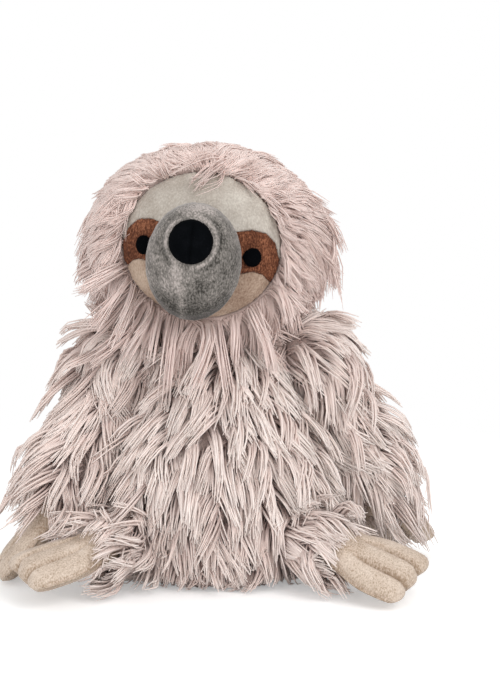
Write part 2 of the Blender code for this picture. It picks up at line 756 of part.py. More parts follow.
def make_nose(surface, neck, face, colours):
    """Nose pad on the tip of the muzzle."""
    above = HEAD_HALF_DEPTH + MUZZLE_REACH * 2
    rise = MUZZLE_HALF_HEIGHT * NOSE_RISE_SHARE

    def seat(across, up, height):
        start = Vector((across, up + rise, above))
        hit = surface.ray_cast(start, Vector((0.0, 0.0, -1.0)))[0]
        return hit + Vector((0.0, 0.0, SEAM_GAP + height))

    make_pad("nose", NOSE_RADIUS, NOSE_THICKNESS, seat, neck, face, colours["black_pile"])


def make_eye(side, hand, neck, face, colours):
    """Embroidered eye, a low pad on its patch."""
    edge = math.sin(math.radians(FACE_EDGE_ANGLE))
    middle_across = hand * HEAD_HALF_WIDTH * edge * EYE_OUT_SHARE
    middle_up = HEAD_HALF_HEIGHT * edge * EYE_DROP_SHARE

    def seat(across, up, height):
        top = PILE_THICKNESS - FACE_FABRIC
        return ball_point(middle_across + across, middle_up + up, top - SEAM_GAP - height)

    make_pad(f"{side}_eye", EYE_RADIUS, EYE_THICKNESS, seat, neck, face, colours["black_pile"])


def make_face(neck, face, colours):
    """Forehead, two eye patches and two cheeks round the muzzle, then nose and eyes."""
    upper = (UPPER_SEAM_START, UPPER_SEAM_MIDDLE_SHARES, UPPER_SEAM_END)
    lower = (LOWER_SEAM_START, LOWER_SEAM_MIDDLE_SHARES, LOWER_SEAM_END)
    chin = (-90.0, CHIN_SEAM_MIDDLE_SHARES, -90.0)
    far_chin = (270.0, CHIN_SEAM_MIDDLE_SHARES, 270.0)
    fabric = colours["forehead_pile"]
    make_panel("forehead_panel", upper, mirrored(upper), FOREHEAD_COLUMNS, neck, face, fabric)
    fabric, columns = colours["patch_pile"], PATCH_COLUMNS
    make_panel("left_eye_patch", lower, upper, columns, neck, face, fabric)
    make_panel("right_eye_patch", mirrored(upper), mirrored(lower), columns, neck, face, fabric)
    fabric, columns = colours["cheek_pile"], CHEEK_COLUMNS
    make_panel("left_cheek_panel", chin, lower, columns, neck, face, fabric)
    make_panel("right_cheek_panel", mirrored(lower), far_chin, columns, neck, face, fabric)
    surface = make_muzzle(neck, face, colours)
    make_nose(surface, neck, face, colours)
    make_eye("left", 1.0, neck, face, colours)
    make_eye("right", -1.0, neck, face, colours)


def face_matrix():
    """The head's centre and the face's axes: across to its left, up, and out."""
    yaw, pitch, roll = (math.radians(angle) for angle in (FACE_YAW, FACE_PITCH, FACE_ROLL))
    out = Vector((-math.sin(yaw), -math.cos(yaw), 0.0)) * math.cos(pitch)
    out.z = math.sin(pitch)
    level = Vector((math.cos(yaw), -math.sin(yaw), 0.0))
    upright = out.cross(level)
    up = upright * math.cos(roll) + level * math.sin(roll)
    across = up.cross(out)
    turn = Matrix((across, up, out)).transposed()
    centre = Vector((HEAD_CENTRE_X, HEAD_CENTRE_Y, neck_height() + HEAD_ABOVE_NECK))
    return Matrix.Translation(centre) @ turn.to_4x4()


def arm_matrix(hand, swing):
    """Shoulder pivot with +Z down the arm and +X on the axis that lifts it sideways."""
    splay, swing = math.radians(ARM_SPLAY), math.radians(swing)
    down = Vector((hand * math.sin(splay), 0.0, -math.cos(splay)))
    along = down * math.cos(swing) + Vector((0.0, -math.sin(swing), 0.0))
    pivot = Vector((hand * SHOULDER_HALF_SPAN, -SHOULDER_FORWARD, SHOULDER_HEIGHT))
    return frame(pivot, along, (0.0, -hand, 0.0))


def leg_matrix(hand, heading):
    """Hip pivot with +Z along the leg and +X on the level axis that lifts it."""
    turn, droop = math.radians(heading), math.radians(LEG_DROOP)
    along = Vector((hand * math.cos(turn), math.sin(turn), 0.0)) * math.cos(droop)
    along.z = -math.sin(droop)
    pivot = Vector((hand * HIP_HALF_SPAN, -HIP_FORWARD, HIP_HEIGHT))
    across = along.cross(Vector((0.0, 0.0, 1.0)))
    return frame(pivot, along, across)


def paw_matrix(limb_world, length, direction_shares, across_shares):
    """Wrist or ankle pivot at the limb's end, with +Z to the claws and +X across them."""
    pivot = limb_world @ Vector((0.0, 0.0, length))
    return frame(pivot, direction_shares, across_shares)


def main():
    clear_scene()
    colours = {
        "long_pile": surface_material("long_pile", (0.60, 0.50, 0.47), 0.9),
        "forehead_pile": surface_material("forehead_pile", (0.55, 0.49, 0.44), 0.85),
        "patch_pile": surface_material("patch_pile", (0.17, 0.055, 0.03), 0.85),
        "cheek_pile": surface_material("cheek_pile", (0.36, 0.26, 0.20), 0.85),
        "muzzle_pile": surface_material("muzzle_pile", (0.20, 0.185, 0.175), 0.8),
        "black_pile": surface_material("black_pile", (0.004, 0.004, 0.005), 0.9),
        "paw_pile": surface_material("paw_pile", (0.56, 0.45, 0.36), 0.85),
        "filling": surface_material("filling", (0.80, 0.80, 0.78), 0.95),
        "pouch": surface_material("pouch", (0.70, 0.70, 0.68), 0.9),
    }
    root = joint_empty("seat", Matrix.Identity(4))
    neck_world = Matrix.Translation((0.0, 0.0, neck_height()))
    neck = joint_empty("neck", neck_world, root)
    arm = (ARM_ROOT_RADIUS, ARM_RADIUS, ARM_LENGTH, ARM_RING_SHARES)
    leg = (LEG_ROOT_RADIUS, LEG_RADIUS, LEG_LENGTH, LEG_RING_SHARES)
    shoulders, hips = {}, {}
    left = (1.0, LEFT_ARM_SWING, LEFT_LEG_HEADING)
    right = (-1.0, RIGHT_ARM_SWING, RIGHT_LEG_HEADING)
    for side, (hand, swing, heading) in (("left", left), ("right", right)):
        arm_world, leg_world = arm_matrix(hand, swing), leg_matrix(hand, heading)
        shoulders[side] = joint_empty(f"{side}_shoulder", arm_world, root)
        hips[side] = joint_empty(f"{side}_hip", leg_world, root)
        make_limb(side, "arm", shoulders[side], arm, colours)
        make_limb(side, "leg", hips[side], leg, colours)
        hand_world = paw_matrix(arm_world, ARM_LENGTH, *PAW_DIRECTION_SHARES[f"{side}_hand"])
        foot_world = paw_matrix(leg_world, LEG_LENGTH, *PAW_DIRECTION_SHARES[f"{side}_foot"])
        wrist = joint_empty(f"{side}_wrist", hand_world, shoulders[side])
        ankle = joint_empty(f"{side}_ankle", foot_world, hips[side])
        make_paw(side, "hand", wrist, colours)
        make_paw(side, "foot", ankle, colours)
    make_torso(root, shoulders, hips, colours)
    face = neck_world.inverted() @ face_matrix()
    make_head(neck, face, colours)
    make_face(neck, face, colours)


main()
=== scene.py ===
"""Looks of a seated plush sloth: shaggy long pile over sewn, stuffed forms, a short-pile face let into the
hood, a stuffed muzzle and four three-clawed mittens. Metres, +Z up, the toy faces -Y.
"""

import json
import logging
import math
from dataclasses import dataclass, field
from enum import Enum

import bmesh
import bpy
import numpy as np
from bpy.types import Material, Mesh, Node, NodeSocket, NodeTree, Object
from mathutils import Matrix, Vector, noise
from mathutils.bvhtree import BVHTree


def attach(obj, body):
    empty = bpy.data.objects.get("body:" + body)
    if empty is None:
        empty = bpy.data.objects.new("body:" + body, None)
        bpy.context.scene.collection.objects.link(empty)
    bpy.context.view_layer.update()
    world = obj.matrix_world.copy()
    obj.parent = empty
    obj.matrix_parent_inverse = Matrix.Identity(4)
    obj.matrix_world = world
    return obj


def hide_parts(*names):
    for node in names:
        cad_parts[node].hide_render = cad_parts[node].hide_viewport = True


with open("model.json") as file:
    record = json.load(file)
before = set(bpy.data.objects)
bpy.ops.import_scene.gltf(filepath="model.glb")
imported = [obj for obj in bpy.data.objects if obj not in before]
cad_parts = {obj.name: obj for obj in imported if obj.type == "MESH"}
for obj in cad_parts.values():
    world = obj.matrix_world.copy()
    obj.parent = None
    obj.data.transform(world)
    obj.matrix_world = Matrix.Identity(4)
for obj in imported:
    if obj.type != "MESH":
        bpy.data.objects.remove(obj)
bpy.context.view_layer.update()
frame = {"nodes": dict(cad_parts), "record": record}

LOG = logging.getLogger("plush_sloth")
NOISE_SEED = 3
Array = np.ndarray
Knots = tuple[tuple[float, float], ...]
Materials = dict[str, Material]


class Graph:
    """Adds nodes to a node tree and joins them, so that a tree reads as formulas."""

    def __init__(self, tree: NodeTree) -> None:
        """Work on this tree."""
        self.tree = tree

    def add(self, kind: str, values: dict | None = None, **settings: object) -> Node:
        """Add a node.

        Args:
            kind: The node's type.
            values: Values or sockets for its inputs, by name or place.
            settings: Properties of the node, set before its inputs.

        Returns:
            The new node.
        """
        node = self.tree.nodes.new(kind)
        for name, value in settings.items():
            setattr(node, name, value)
        for key, value in (values or {}).items():
            self.feed(self.socket(node, key), value)
        return node

    @staticmethod
    def socket(node: Node, key: str | int) -> NodeSocket:
        """Input of the node with this name, or at this place among those in use."""
        live = [socket for socket in node.inputs if socket.enabled]
        if isinstance(key, int):
            return live[key]
        return next(socket for socket in live if socket.name == key)

    def feed(self, target: NodeSocket, value: object) -> None:
        """Join a socket to this input, or set the input's own value."""
        if isinstance(value, Node):
            value = self.out(value)
        if isinstance(value, NodeSocket):
            self.tree.links.new(value, target)
        else:
            target.default_value = value

    @staticmethod
    def out(node: Node, name: str | None = None) -> NodeSocket:
        """First output in use, or the one with this name."""
        return next(s for s in node.outputs if s.enabled and (name is None or s.name == name))

    def math(self, operation: str, *values: object) -> NodeSocket:
        """Result of a scalar operation."""
        node = self.add("ShaderNodeMath", dict(enumerate(values)), operation=operation)
        return self.out(node)

    def vector(self, operation: str, *values: object) -> NodeSocket:
        """Result of a vector operation."""
        node = self.add("ShaderNodeVectorMath", operation=operation)
        for place, value in enumerate(values):
            self.feed(self.socket(node, place), value)
        return self.out(node)

    def scaled(self, vector: object, factor: object) -> NodeSocket:
        """A vector times a number."""
        node = self.add("ShaderNodeVectorMath", {0: vector, "Scale": factor}, operation="SCALE")
        return self.out(node)

    def attribute(self, name: str, kind: str = "FLOAT") -> NodeSocket:
        """Named attribute of the geometry at hand."""
        node = self.add("GeometryNodeInputNamedAttribute", {"Name": name}, data_type=kind)
        return self.out(node)

    def random(self, low: object, high: object, seed: object, kind: str = "FLOAT") -> NodeSocket:
        """Random value for each element."""
        values = {"Min": low, "Max": high, "Seed": seed}
        return self.out(self.add("FunctionNodeRandomValue", values, data_type=kind))

    def store(
        self, geometry: object, name: str, value: object, kind: str = "FLOAT", domain: str = "POINT"
    ) -> NodeSocket:
        """Keep a value on the geometry under this name."""
        values = {"Geometry": geometry, "Name": name, "Value": value}
        settings = {"data_type": kind, "domain": domain}
        return self.out(self.add("GeometryNodeStoreNamedAttribute", values, **settings))

    def position(self) -> NodeSocket:
        """Place of each element of the geometry at hand."""
        return self.out(self.add("GeometryNodeInputPosition"))

    def product(self, *values: object) -> NodeSocket:
        """The values times each other, from left to right."""
        total = values[0]
        for value in values[1:]:
            total = self.math("MULTIPLY", total, value)
        return total

    def clamped(self, value: object, low: float, high: float) -> NodeSocket:
        """The value, kept between two limits."""
        return self.math("MINIMUM", self.math("MAXIMUM", value, low), high)

    def mixed(self, factor: object, first: object, second: object) -> NodeSocket:
        """Colour on the way from the first to the second."""
        values = {"Factor": factor, "A": first, "B": second}
        return self.out(self.add("ShaderNodeMix", values, data_type="RGBA"))

    def give(self, mesh: object, material: object) -> None:
        """End a geometry tree: the mesh is smooth, real and of one material."""
        mesh = self.add("GeometryNodeSetShadeSmooth", {"Geometry": mesh, "Shade Smooth": True})
        mesh = self.add("GeometryNodeRealizeInstances", {"Geometry": mesh})
        mesh = self.add("GeometryNodeSetMaterial", {"Geometry": mesh, "Material": material})
        self.feed(self.tree.nodes.new("NodeGroupOutput").inputs[0], mesh)


def geometry_tree(name: str, inputs: tuple[tuple[str, str, object], ...]) -> NodeTree:
    """New Geometry Nodes tree that takes these inputs and gives out a geometry.

    Args:
        name: The tree's name.
        inputs: Name, kind and default of each input, in order.

    Returns:
        The tree, with nothing in it yet.
    """
    tree = bpy.data.node_groups.new(name, "GeometryNodeTree")
    for label, kind, default in inputs:
        socket = tree.interface.new_socket(label, in_out="INPUT", socket_type=f"NodeSocket{kind}")
        if default is not None:
            socket.default_value = default
    tree.interface.new_socket("Geometry", in_out="OUTPUT", socket_type="NodeSocketGeometry")
    return tree


@dataclass(frozen=True)
class Colour:
    """A colour as the eye reads it, in shares of full red, green and blue."""

    red: float
    green: float
    blue: float

    def linear(self) -> tuple[float, float, float, float]:
        """The same colour as light, which the shaders use."""
        values = [
            value / 12.92 if value <= 0.04045 else ((value + 0.055) / 1.055) ** 2.4
            for value in (self.red, self.green, self.blue)
        ]
        return (*values, 1.0)


class FurTree:
    """Geometry Nodes tree that plants strands of long pile on a skin and combs them into locks."""

    INPUTS = (
        ("Geometry", "Geometry", None), ("Body", "Object", None), ("Strands", "Float", 200000.0),
        ("Locks", "Float", 12000.0), ("Radius", "Float", 0.0006), ("Droop", "Float", 0.25),
        ("Follow", "Float", 0.85), ("Gather", "Float", 0.45), ("Spread", "Float", 0.2),
        ("Lock Spread", "Float", 0.6), ("Wave", "Float", 0.12), ("Rings", "Int", 6),
        ("Seed", "Int", 1), ("Material", "Material", None),
    )
    TONES = 24
    SIDES = 3
    RANDOM_SEED, PLY_SEED, GROWTH_SEED = 11, 21, 31
    GROWTH = (0.8, 1.06)
    REACH, REACH_SPREAD = 0.9, 0.25
    RISE, RISE_LOSS = 1.15, 0.62
    RUN, RUN_GAIN = 0.45, 0.45
    TAPER = 0.68
    THIN, THIN_SPREAD = 0.75, 0.5
    LOCK_LAYER, OWN_LAYER = 0.7, 0.3
    CLEARANCE = 0.001
    PULL_BACK = 0.85
    FLOOR_CLEARANCE, FLOOR_DEPTH = 0.0008, 0.006
    FAR = 10.0
    # The layer tone is painted shade: locks lying under others are darker.
    PLY_TONE, LOCK_TONE, LAYER_TONE = 0.26, 0.22, 0.4
    MARGIN = 0.1

    def __init__(self) -> None:
        """Build the tree once, for every coat."""
        self.tree = geometry_tree("long_pile_fur", self.INPUTS)
        self.graph = Graph(self.tree)
        self.given = self.tree.nodes.new("NodeGroupInput").outputs
        self._build()

    def path(self, normal: object, comb: object, size: object, random: object, spread: object) -> object:
        """Way from a strand's root to each place along it, from 0 at its root to 1 at its tip.

        Args:
            normal: The skin's outward direction at the root.
            comb: The way that the pile lies.
            size: The strand's length, and how far of it stands up from the skin.
            random: The strand's own random vector.
            spread: How far that turns it from the comb.

        Returns:
            The socket with the way from the root.
        """
        g, along = self.graph, self.graph.attribute("along")
        length, lift = size
        lean = g.vector("NORMALIZE", g.vector("ADD", comb, g.scaled(random, spread)))
        rise = g.product(along, g.math("SUBTRACT", self.RISE, g.product(along, self.RISE_LOSS)), lift)
        run = g.product(along, g.math("ADD", self.RUN, g.product(along, self.RUN_GAIN)), length)
        fall = g.product(g.product(along, along), g.product(length, self.given["Droop"]))
        bow = g.product(g.math("SINE", g.product(along, math.pi)), length, self.given["Wave"])
        place = g.scaled(normal, rise)
        turned = g.vector("CROSS_PRODUCT", random, lean)
        for way, far in ((lean, run), ((0.0, 0.0, -1.0), fall), (turned, bow)):
            place = g.vector("ADD", place, g.scaled(way, far))
        return place

    def _planted(self) -> tuple[object, object]:
        """Roots of the strands and of the locks that gather them, with what each needs stored."""
        g, given = self.graph, self.given
        planted = []
        for step, density in enumerate(("Strands", "Locks")):
            factor = g.product(given[density], g.attribute("cover"))
            seed = g.math("ADD", given["Seed"], step)
            values = {"Mesh": given["Geometry"], "Density": factor, "Seed": seed}
            scatter = g.add("GeometryNodeDistributePointsOnFaces", values, distribute_method="RANDOM")
            points = g.store(g.out(scatter, "Points"), "root", g.position(), "FLOAT_VECTOR")
            seed = g.math("ADD", given["Seed"], self.RANDOM_SEED + step)
            random = g.random((-1.0, -1.0, -1.0), (1.0, 1.0, 1.0), seed, "FLOAT_VECTOR")
            planted.append(g.store(points, "random", random, "FLOAT_VECTOR"))
        strands, locks = planted
        values = {"Geometry": locks, "Sample Position": g.position()}
        nearest = g.add("GeometryNodeSampleNearest", values, domain="POINT")
        return g.store(strands, "lock", g.out(nearest), "INT"), locks

    def _lock_value(self, locks: object, name: str, kind: str = "FLOAT_VECTOR") -> object:
        """A value of the lock that this strand belongs to."""
        g = self.graph
        values = {"Geometry": locks, "Value": g.attribute(name, kind), "Index": g.attribute("lock", "INT")}
        return g.out(g.add("GeometryNodeSampleIndex", values, data_type=kind, domain="POINT"))

    def _grown(self, strands: object) -> object:
        """A line on each root, with its place along the strand stored on it."""
        g, given = self.graph, self.given
        line = g.add("GeometryNodeCurvePrimitiveLine", {"End": (0.0, 0.0, 0.01)}, mode="POINTS")
        line = g.add("GeometryNodeResampleCurve", {"Curve": line, "Count": given["Rings"]}, mode="COUNT")
        line = g.store(line, "along", g.out(g.add("GeometryNodeSplineParameter"), "Factor"))
        grown = g.add("GeometryNodeInstanceOnPoints", {"Points": strands, "Instance": line})
        return g.out(g.add("GeometryNodeRealizeInstances", {"Geometry": grown}))

    def _clear_of_body(self, place: object) -> object:
        """The place, moved out of the body's skin where it lies in it, and kept above the floor."""
        g = self.graph
        body = g.add("GeometryNodeObjectInfo", {"Object": self.given["Body"]}, transform_space="ORIGINAL")
        found = []
        for value in (g.position(), g.attribute("out", "FLOAT_VECTOR")):
            values = {"Mesh": g.out(body, "Geometry"), "Value": value, "Sample Position": place}
            found.append(g.out(g.add("GeometryNodeSampleNearestSurface", values, data_type="FLOAT_VECTOR")))
        nearest, outward = found
        outward = g.vector("NORMALIZE", outward)
        values = {0: g.vector("SUBTRACT", place, nearest), 1: outward}
        above = g.out(g.add("ShaderNodeVectorMath", values, operation="DOT_PRODUCT"), "Value")
        own = g.product(g.attribute("ply"), self.OWN_LAYER)
        layer = g.math("MULTIPLY_ADD", g.attribute("layer"), self.LOCK_LAYER, own)
        wanted = g.math("ADD", self.CLEARANCE, g.product(layer, g.attribute("fluff")))
        wanted = g.product(g.attribute("along"), wanted)
        short = g.math("MAXIMUM", g.math("SUBTRACT", wanted, above), 0.0)
        proud = g.math("MAXIMUM", g.math("SUBTRACT", above, g.attribute("loft")), 0.0)
        short = g.math("SUBTRACT", short, g.product(proud, self.PULL_BACK))
        place = g.vector("ADD", place, g.scaled(outward, g.product(short, g.attribute("free"))))
        floor = g.math("ADD", self.FLOOR_CLEARANCE, g.product(g.attribute("ply"), self.FLOOR_DEPTH))
        lowest = g.add("ShaderNodeCombineXYZ", {"X": -self.FAR, "Y": -self.FAR, "Z": floor})
        return g.vector("MAXIMUM", place, lowest)

    def _build(self) -> None:
        """Join the whole tree."""
        g, given = self.graph, self.given
        strands, locks = self._planted()
        drawn = g.add("ShaderNodeSeparateXYZ", {"Vector": self._lock_value(locks, "random")})
        for name, value in (
            ("lock_tone", g.out(drawn, "X")),
            ("layer", g.math("MULTIPLY_ADD", g.out(drawn, "Y"), 0.5, 0.5)),
            ("reach", g.math("MULTIPLY_ADD", g.out(drawn, "Z"), self.REACH_SPREAD, self.REACH)),
            ("ply", g.random(0.0, 1.0, g.math("ADD", given["Seed"], self.PLY_SEED))),
            ("grow", g.random(*self.GROWTH, g.math("ADD", given["Seed"], self.GROWTH_SEED))),
        ):
            strands = g.store(strands, name, value)
        curves = self._grown(strands)
        reach = g.product(g.attribute("grow"), g.attribute("reach"))
        size = [g.product(g.attribute(name), reach) for name in ("length", "lift")]
        own = [g.attribute(name, "FLOAT_VECTOR") for name in ("out", "comb")]
        own = self.path(*own, size, g.attribute("random", "FLOAT_VECTOR"), given["Spread"])
        size = [g.product(self._lock_value(locks, name, "FLOAT"), reach) for name in ("length", "lift")]
        shared = [self._lock_value(locks, name) for name in ("out", "comb")]
        shared = self.path(*shared, size, self._lock_value(locks, "random"), given["Lock Spread"])
        way = g.add("ShaderNodeMix", {"Factor": given["Follow"], "A": own, "B": shared}, data_type="VECTOR")
        values = {
            "Factor": g.product(g.attribute("along"), given["Gather"]),
            "A": g.attribute("root", "FLOAT_VECTOR"), "B": self._lock_value(locks, "root"),
        }
        start = g.add("ShaderNodeMix", values, data_type="VECTOR")
        place = self._clear_of_body(g.vector("ADD", start, way))
        curves = g.out(g.add("GeometryNodeSetPosition", {"Geometry": curves, "Position": place}))
        taper = g.math("SUBTRACT", 1.0, g.product(g.math("POWER", g.attribute("along"), 3.0), self.TAPER))
        width = g.math("MULTIPLY_ADD", g.attribute("ply"), self.THIN_SPREAD, self.THIN)
        width = g.product(given["Radius"], width, g.attribute("thick"))
        circle = g.add("GeometryNodeCurvePrimitiveCircle", {"Resolution": self.SIDES, "Radius": 1.0})
        width = g.product(taper, width)
        values = {"Curve": curves, "Profile Curve": circle, "Scale": width, "Fill Caps": True}
        mesh = g.out(g.add("GeometryNodeCurveToMesh", values))
        g.give(g.store(mesh, "OFBake", self._bake_place(), "FLOAT2", "CORNER"), given["Material"])

    def _bake_place(self) -> object:
        """Place on the strands' map: the tone across it, in steps, and the way along the strand up it."""
        g = self.graph
        tone = g.math("MULTIPLY_ADD", g.attribute("ply"), self.PLY_TONE, -self.PLY_TONE / 2.0)
        # The "shade" attribute carries each coat's tone, with painted shade near the floor, on the right arm
        # and on the head.
        tone = g.math("ADD", g.attribute("shade"), tone)
        tone = g.math("ADD", tone, g.product(g.attribute("lock_tone"), self.LOCK_TONE))
        # Painted shade: locks that lie lower, under the others, are darker.
        layer = g.math("MULTIPLY_ADD", g.attribute("layer"), self.LAYER_TONE, -self.LAYER_TONE / 2.0)
        tone = g.clamped(g.math("ADD", tone, layer), 0.0, 0.999)
        level = g.math("FLOOR", g.product(tone, float(self.TONES)))
        side = g.math("MODULO", g.out(g.add("GeometryNodeInputIndex")), float(self.SIDES))
        side = g.product(g.math("ADD", side, 0.5), (1.0 - 2.0 * self.MARGIN) / self.SIDES)
        across = g.math("DIVIDE", g.math("ADD", level, g.math("ADD", side, self.MARGIN)), float(self.TONES))
        # "pale" raises the way up the map, which takes away painted shade at the root, or adds more of it
        # below zero.
        pale = g.attribute("pale")
        up = g.math("ADD", pale, g.product(g.attribute("along"), g.math("SUBTRACT", 1.0, pale)))
        up = g.math("MULTIPLY_ADD", g.math("MAXIMUM", up, 0.0), 0.98, 0.01)
        return g.out(g.add("ShaderNodeCombineXYZ", {"X": across, "Y": up, "Z": 0.0}))


@dataclass(frozen=True)
class Surface:
    """How any pile takes the light, and the material that it starts from."""

    name: str

    def begin(self, roughness: float, specular: float, sheen: float, sheen_roughness: float) -> tuple:
        """New material with these values, its graph and its shader."""
        material = bpy.data.materials.new(self.name)
        material.use_nodes = True
        shader = material.node_tree.nodes["Principled BSDF"]
        for name, value in (
            ("Roughness", roughness), ("Specular IOR Level", specular),
            ("Sheen Weight", sheen), ("Sheen Roughness", sheen_roughness),
        ):
            shader.inputs[name].default_value = value
        return material, Graph(material.node_tree), shader


@dataclass(frozen=True)
class LongPileFinish(Surface):
    """Shaggy fur: painted shade at the roots for the shade between the strands, cream towards the tips, each
    strand in its own tone.
    """

    # root: painted shade, the colour where the strands shade each other near the skin.
    root: Colour
    dark: Colour
    light: Colour
    tip: Colour
    root_end: float = 0.55
    tip_start: float = 0.6
    tip_share: float = 0.45

    def material(self) -> Material:
        """The fur's material, read from the strands' own map."""
        material, graph, shader = self.begin(roughness=0.85, specular=0.1, sheen=0.15, sheen_roughness=0.5)
        place = graph.add("ShaderNodeUVMap", uv_map="OFBake")
        parts = graph.add("ShaderNodeSeparateXYZ", {"Vector": place})
        along = parts.outputs["Y"]
        tone = graph.mixed(parts.outputs["X"], self.dark.linear(), self.light.linear())
        # Painted shade: each strand darkens towards its root, where the other strands shade it.
        rise = graph.add("ShaderNodeMapRange", {"Value": along, "From Min": 0.0, "From Max": self.root_end})
        body = graph.mixed(rise, self.root.linear(), tone)
        values = {"Value": along, "From Min": self.tip_start, "From Max": 1.0, "To Max": self.tip_share}
        late = graph.add("ShaderNodeMapRange", values)
        graph.feed(shader.inputs["Base Color"], graph.mixed(late, body, self.tip.linear()))
        return material


def nap_group() -> NodeTree:
    """Shader group for every short pile: fine fibres and the slow marks of stroking.

    Returns:
        The group, with a fibre size and a mark size as inputs and both as masks.
    """
    tree = bpy.data.node_groups.new("stroked_nap", "ShaderNodeTree")
    for name, kind, side in (
        ("Fibres", "NodeSocketFloat", "INPUT"), ("Marks", "NodeSocketFloat", "INPUT"),
        ("Grain", "NodeSocketFloat", "INPUT"),
        ("Mask", "NodeSocketFloat", "OUTPUT"), ("Height", "NodeSocketFloat", "OUTPUT"),
    ):
        tree.interface.new_socket(name, in_out=side, socket_type=kind)
    graph = Graph(tree)
    given = tree.nodes.new("NodeGroupInput").outputs
    place = graph.add("ShaderNodeTexCoord").outputs["Object"]
    slow = graph.add("ShaderNodeTexNoise", {"Vector": place, "Scale": given["Marks"], "Detail": 4.0})
    lying = graph.vector("MULTIPLY", place, (1.0, 1.0, 0.6))
    fine = graph.add("ShaderNodeTexNoise", {"Vector": lying, "Scale": given["Fibres"], "Detail": 3.0})
    speck = graph.add("ShaderNodeTexVoronoi", {"Vector": place, "Scale": given["Fibres"]})
    mask = graph.math("MULTIPLY_ADD", slow.outputs["Fac"], 1.1, -0.55)
    grain = graph.math("MULTIPLY", graph.math("SUBTRACT", fine.outputs["Fac"], 0.5), given["Grain"])
    mask = graph.math("ADD", mask, grain)
    height = graph.math("ADD", fine.outputs["Fac"], graph.math("MULTIPLY", speck.outputs["Distance"], 0.5))
    output = tree.nodes.new("NodeGroupOutput")
    graph.feed(output.inputs["Mask"], mask)
    graph.feed(output.inputs["Height"], height)
    return tree


@dataclass(frozen=True)
class ShortPileFinish(Surface):
    """Short dense pile: fine fibres, a random mottle, and a tone that turns it darker or lighter, which
    carries painted light and shade on some pieces.

    A piece's "tone" attribute shifts it from zero towards the shade (-1) or the light (1).
    """

    shade: Colour
    colour: Colour
    light: Colour
    fibre: float = 0.0007
    mark: float = 0.018
    grain: float = 2.6
    strength: float = 1.0
    sheen: float = 0.2
    specular: float = 0.15
    bump: float = 0.35
    depth: float = 0.0003

    def material(self, nap: NodeTree) -> Material:
        """The fabric's material, with the shared nap group in it."""
        material, graph, shader = self.begin(0.85, self.specular, self.sheen, sheen_roughness=0.4)
        marks = graph.add("ShaderNodeGroup", node_tree=nap)
        marks.inputs["Fibres"].default_value = 1.0 / self.fibre
        marks.inputs["Marks"].default_value = 1.0 / self.mark
        marks.inputs["Grain"].default_value = self.grain
        # The "tone" attribute carries random mottle and, on some pieces, painted light and shade.
        tone = graph.add("ShaderNodeAttribute", attribute_name="tone").outputs["Fac"]
        tone = graph.math("ADD", graph.product(marks.outputs["Mask"], self.strength), tone)
        darker = graph.clamped(graph.product(tone, -1.0), 0.0, 1.0)
        low = graph.mixed(darker, self.colour.linear(), self.shade.linear())
        whole = graph.mixed(graph.clamped(tone, 0.0, 1.0), low, self.light.linear())
        graph.feed(shader.inputs["Base Color"], whole)
        values = {"Strength": self.bump, "Distance": self.depth, "Height": marks.outputs["Height"]}
        graph.feed(shader.inputs["Normal"], graph.add("ShaderNodeBump", values))
        return material


# The root colours are painted shade between the strands.
BODY_FUR = LongPileFinish(
    "long_pile_fur",
    root=Colour(0.68, 0.59, 0.565),
    dark=Colour(0.92, 0.845, 0.815),
    light=Colour(1.00, 0.95, 0.925),
    tip=Colour(1.00, 0.97, 0.95),
)
HEAD_FUR = LongPileFinish(
    "soft_pile_fur",
    root=Colour(0.72, 0.63, 0.60),
    dark=Colour(0.90, 0.81, 0.78),
    light=Colour(0.975, 0.90, 0.875),
    tip=Colour(0.98, 0.915, 0.89),
)
UNDER_PILE = ShortPileFinish(
    "dense_pile", Colour(0.62, 0.53, 0.50), Colour(0.80, 0.71, 0.68), Colour(0.90, 0.82, 0.79), sheen=0.0
)
FOREHEAD = ShortPileFinish(
    "forehead_pile", Colour(0.63, 0.59, 0.545), Colour(0.72, 0.687, 0.648), Colour(0.81, 0.785, 0.745),
    fibre=0.0011, grain=3.0,
)
PATCH = ShortPileFinish(
    "patch_pile", Colour(0.28, 0.15, 0.095), Colour(0.40, 0.237, 0.163), Colour(0.58, 0.375, 0.27),
    fibre=0.0010, grain=5.5,
)
CHEEK = ShortPileFinish(
    "cheek_pile", Colour(0.55, 0.45, 0.38), Colour(0.69, 0.60, 0.53), Colour(0.79, 0.71, 0.635),
    fibre=0.0011, grain=3.0,
)
MUZZLE = ShortPileFinish(
    "muzzle_pile", Colour(0.22, 0.21, 0.195), Colour(0.49, 0.47, 0.45), Colour(0.73, 0.69, 0.67),
    fibre=0.0011, mark=0.012, grain=4.0, strength=0.8, sheen=0.3,
)
BLACK = ShortPileFinish(
    "black_pile", Colour(0.008, 0.010, 0.014), Colour(0.022, 0.028, 0.038), Colour(0.06, 0.065, 0.08),
    strength=0.5, sheen=0.0, specular=0.03,
)
MITTEN = ShortPileFinish(
    "mitten_pile", Colour(0.63, 0.545, 0.465), Colour(0.80, 0.73, 0.665), Colour(0.88, 0.82, 0.765),
    fibre=0.0009, grain=4.0,
)
STITCH = ShortPileFinish(
    "sewing_thread", Colour(0.62, 0.53, 0.45), Colour(0.72, 0.63, 0.55), Colour(0.80, 0.72, 0.64), bump=0.1
)
FIBRE = ShortPileFinish(
    "filling_fibre", Colour(0.80, 0.80, 0.78), Colour(0.90, 0.90, 0.88), Colour(0.96, 0.96, 0.95),
    fibre=0.0015,
)
POUCH_CLOTH = ShortPileFinish(
    "pouch_cloth", Colour(0.74, 0.74, 0.72), Colour(0.83, 0.83, 0.81), Colour(0.89, 0.89, 0.88), sheen=0.0
)


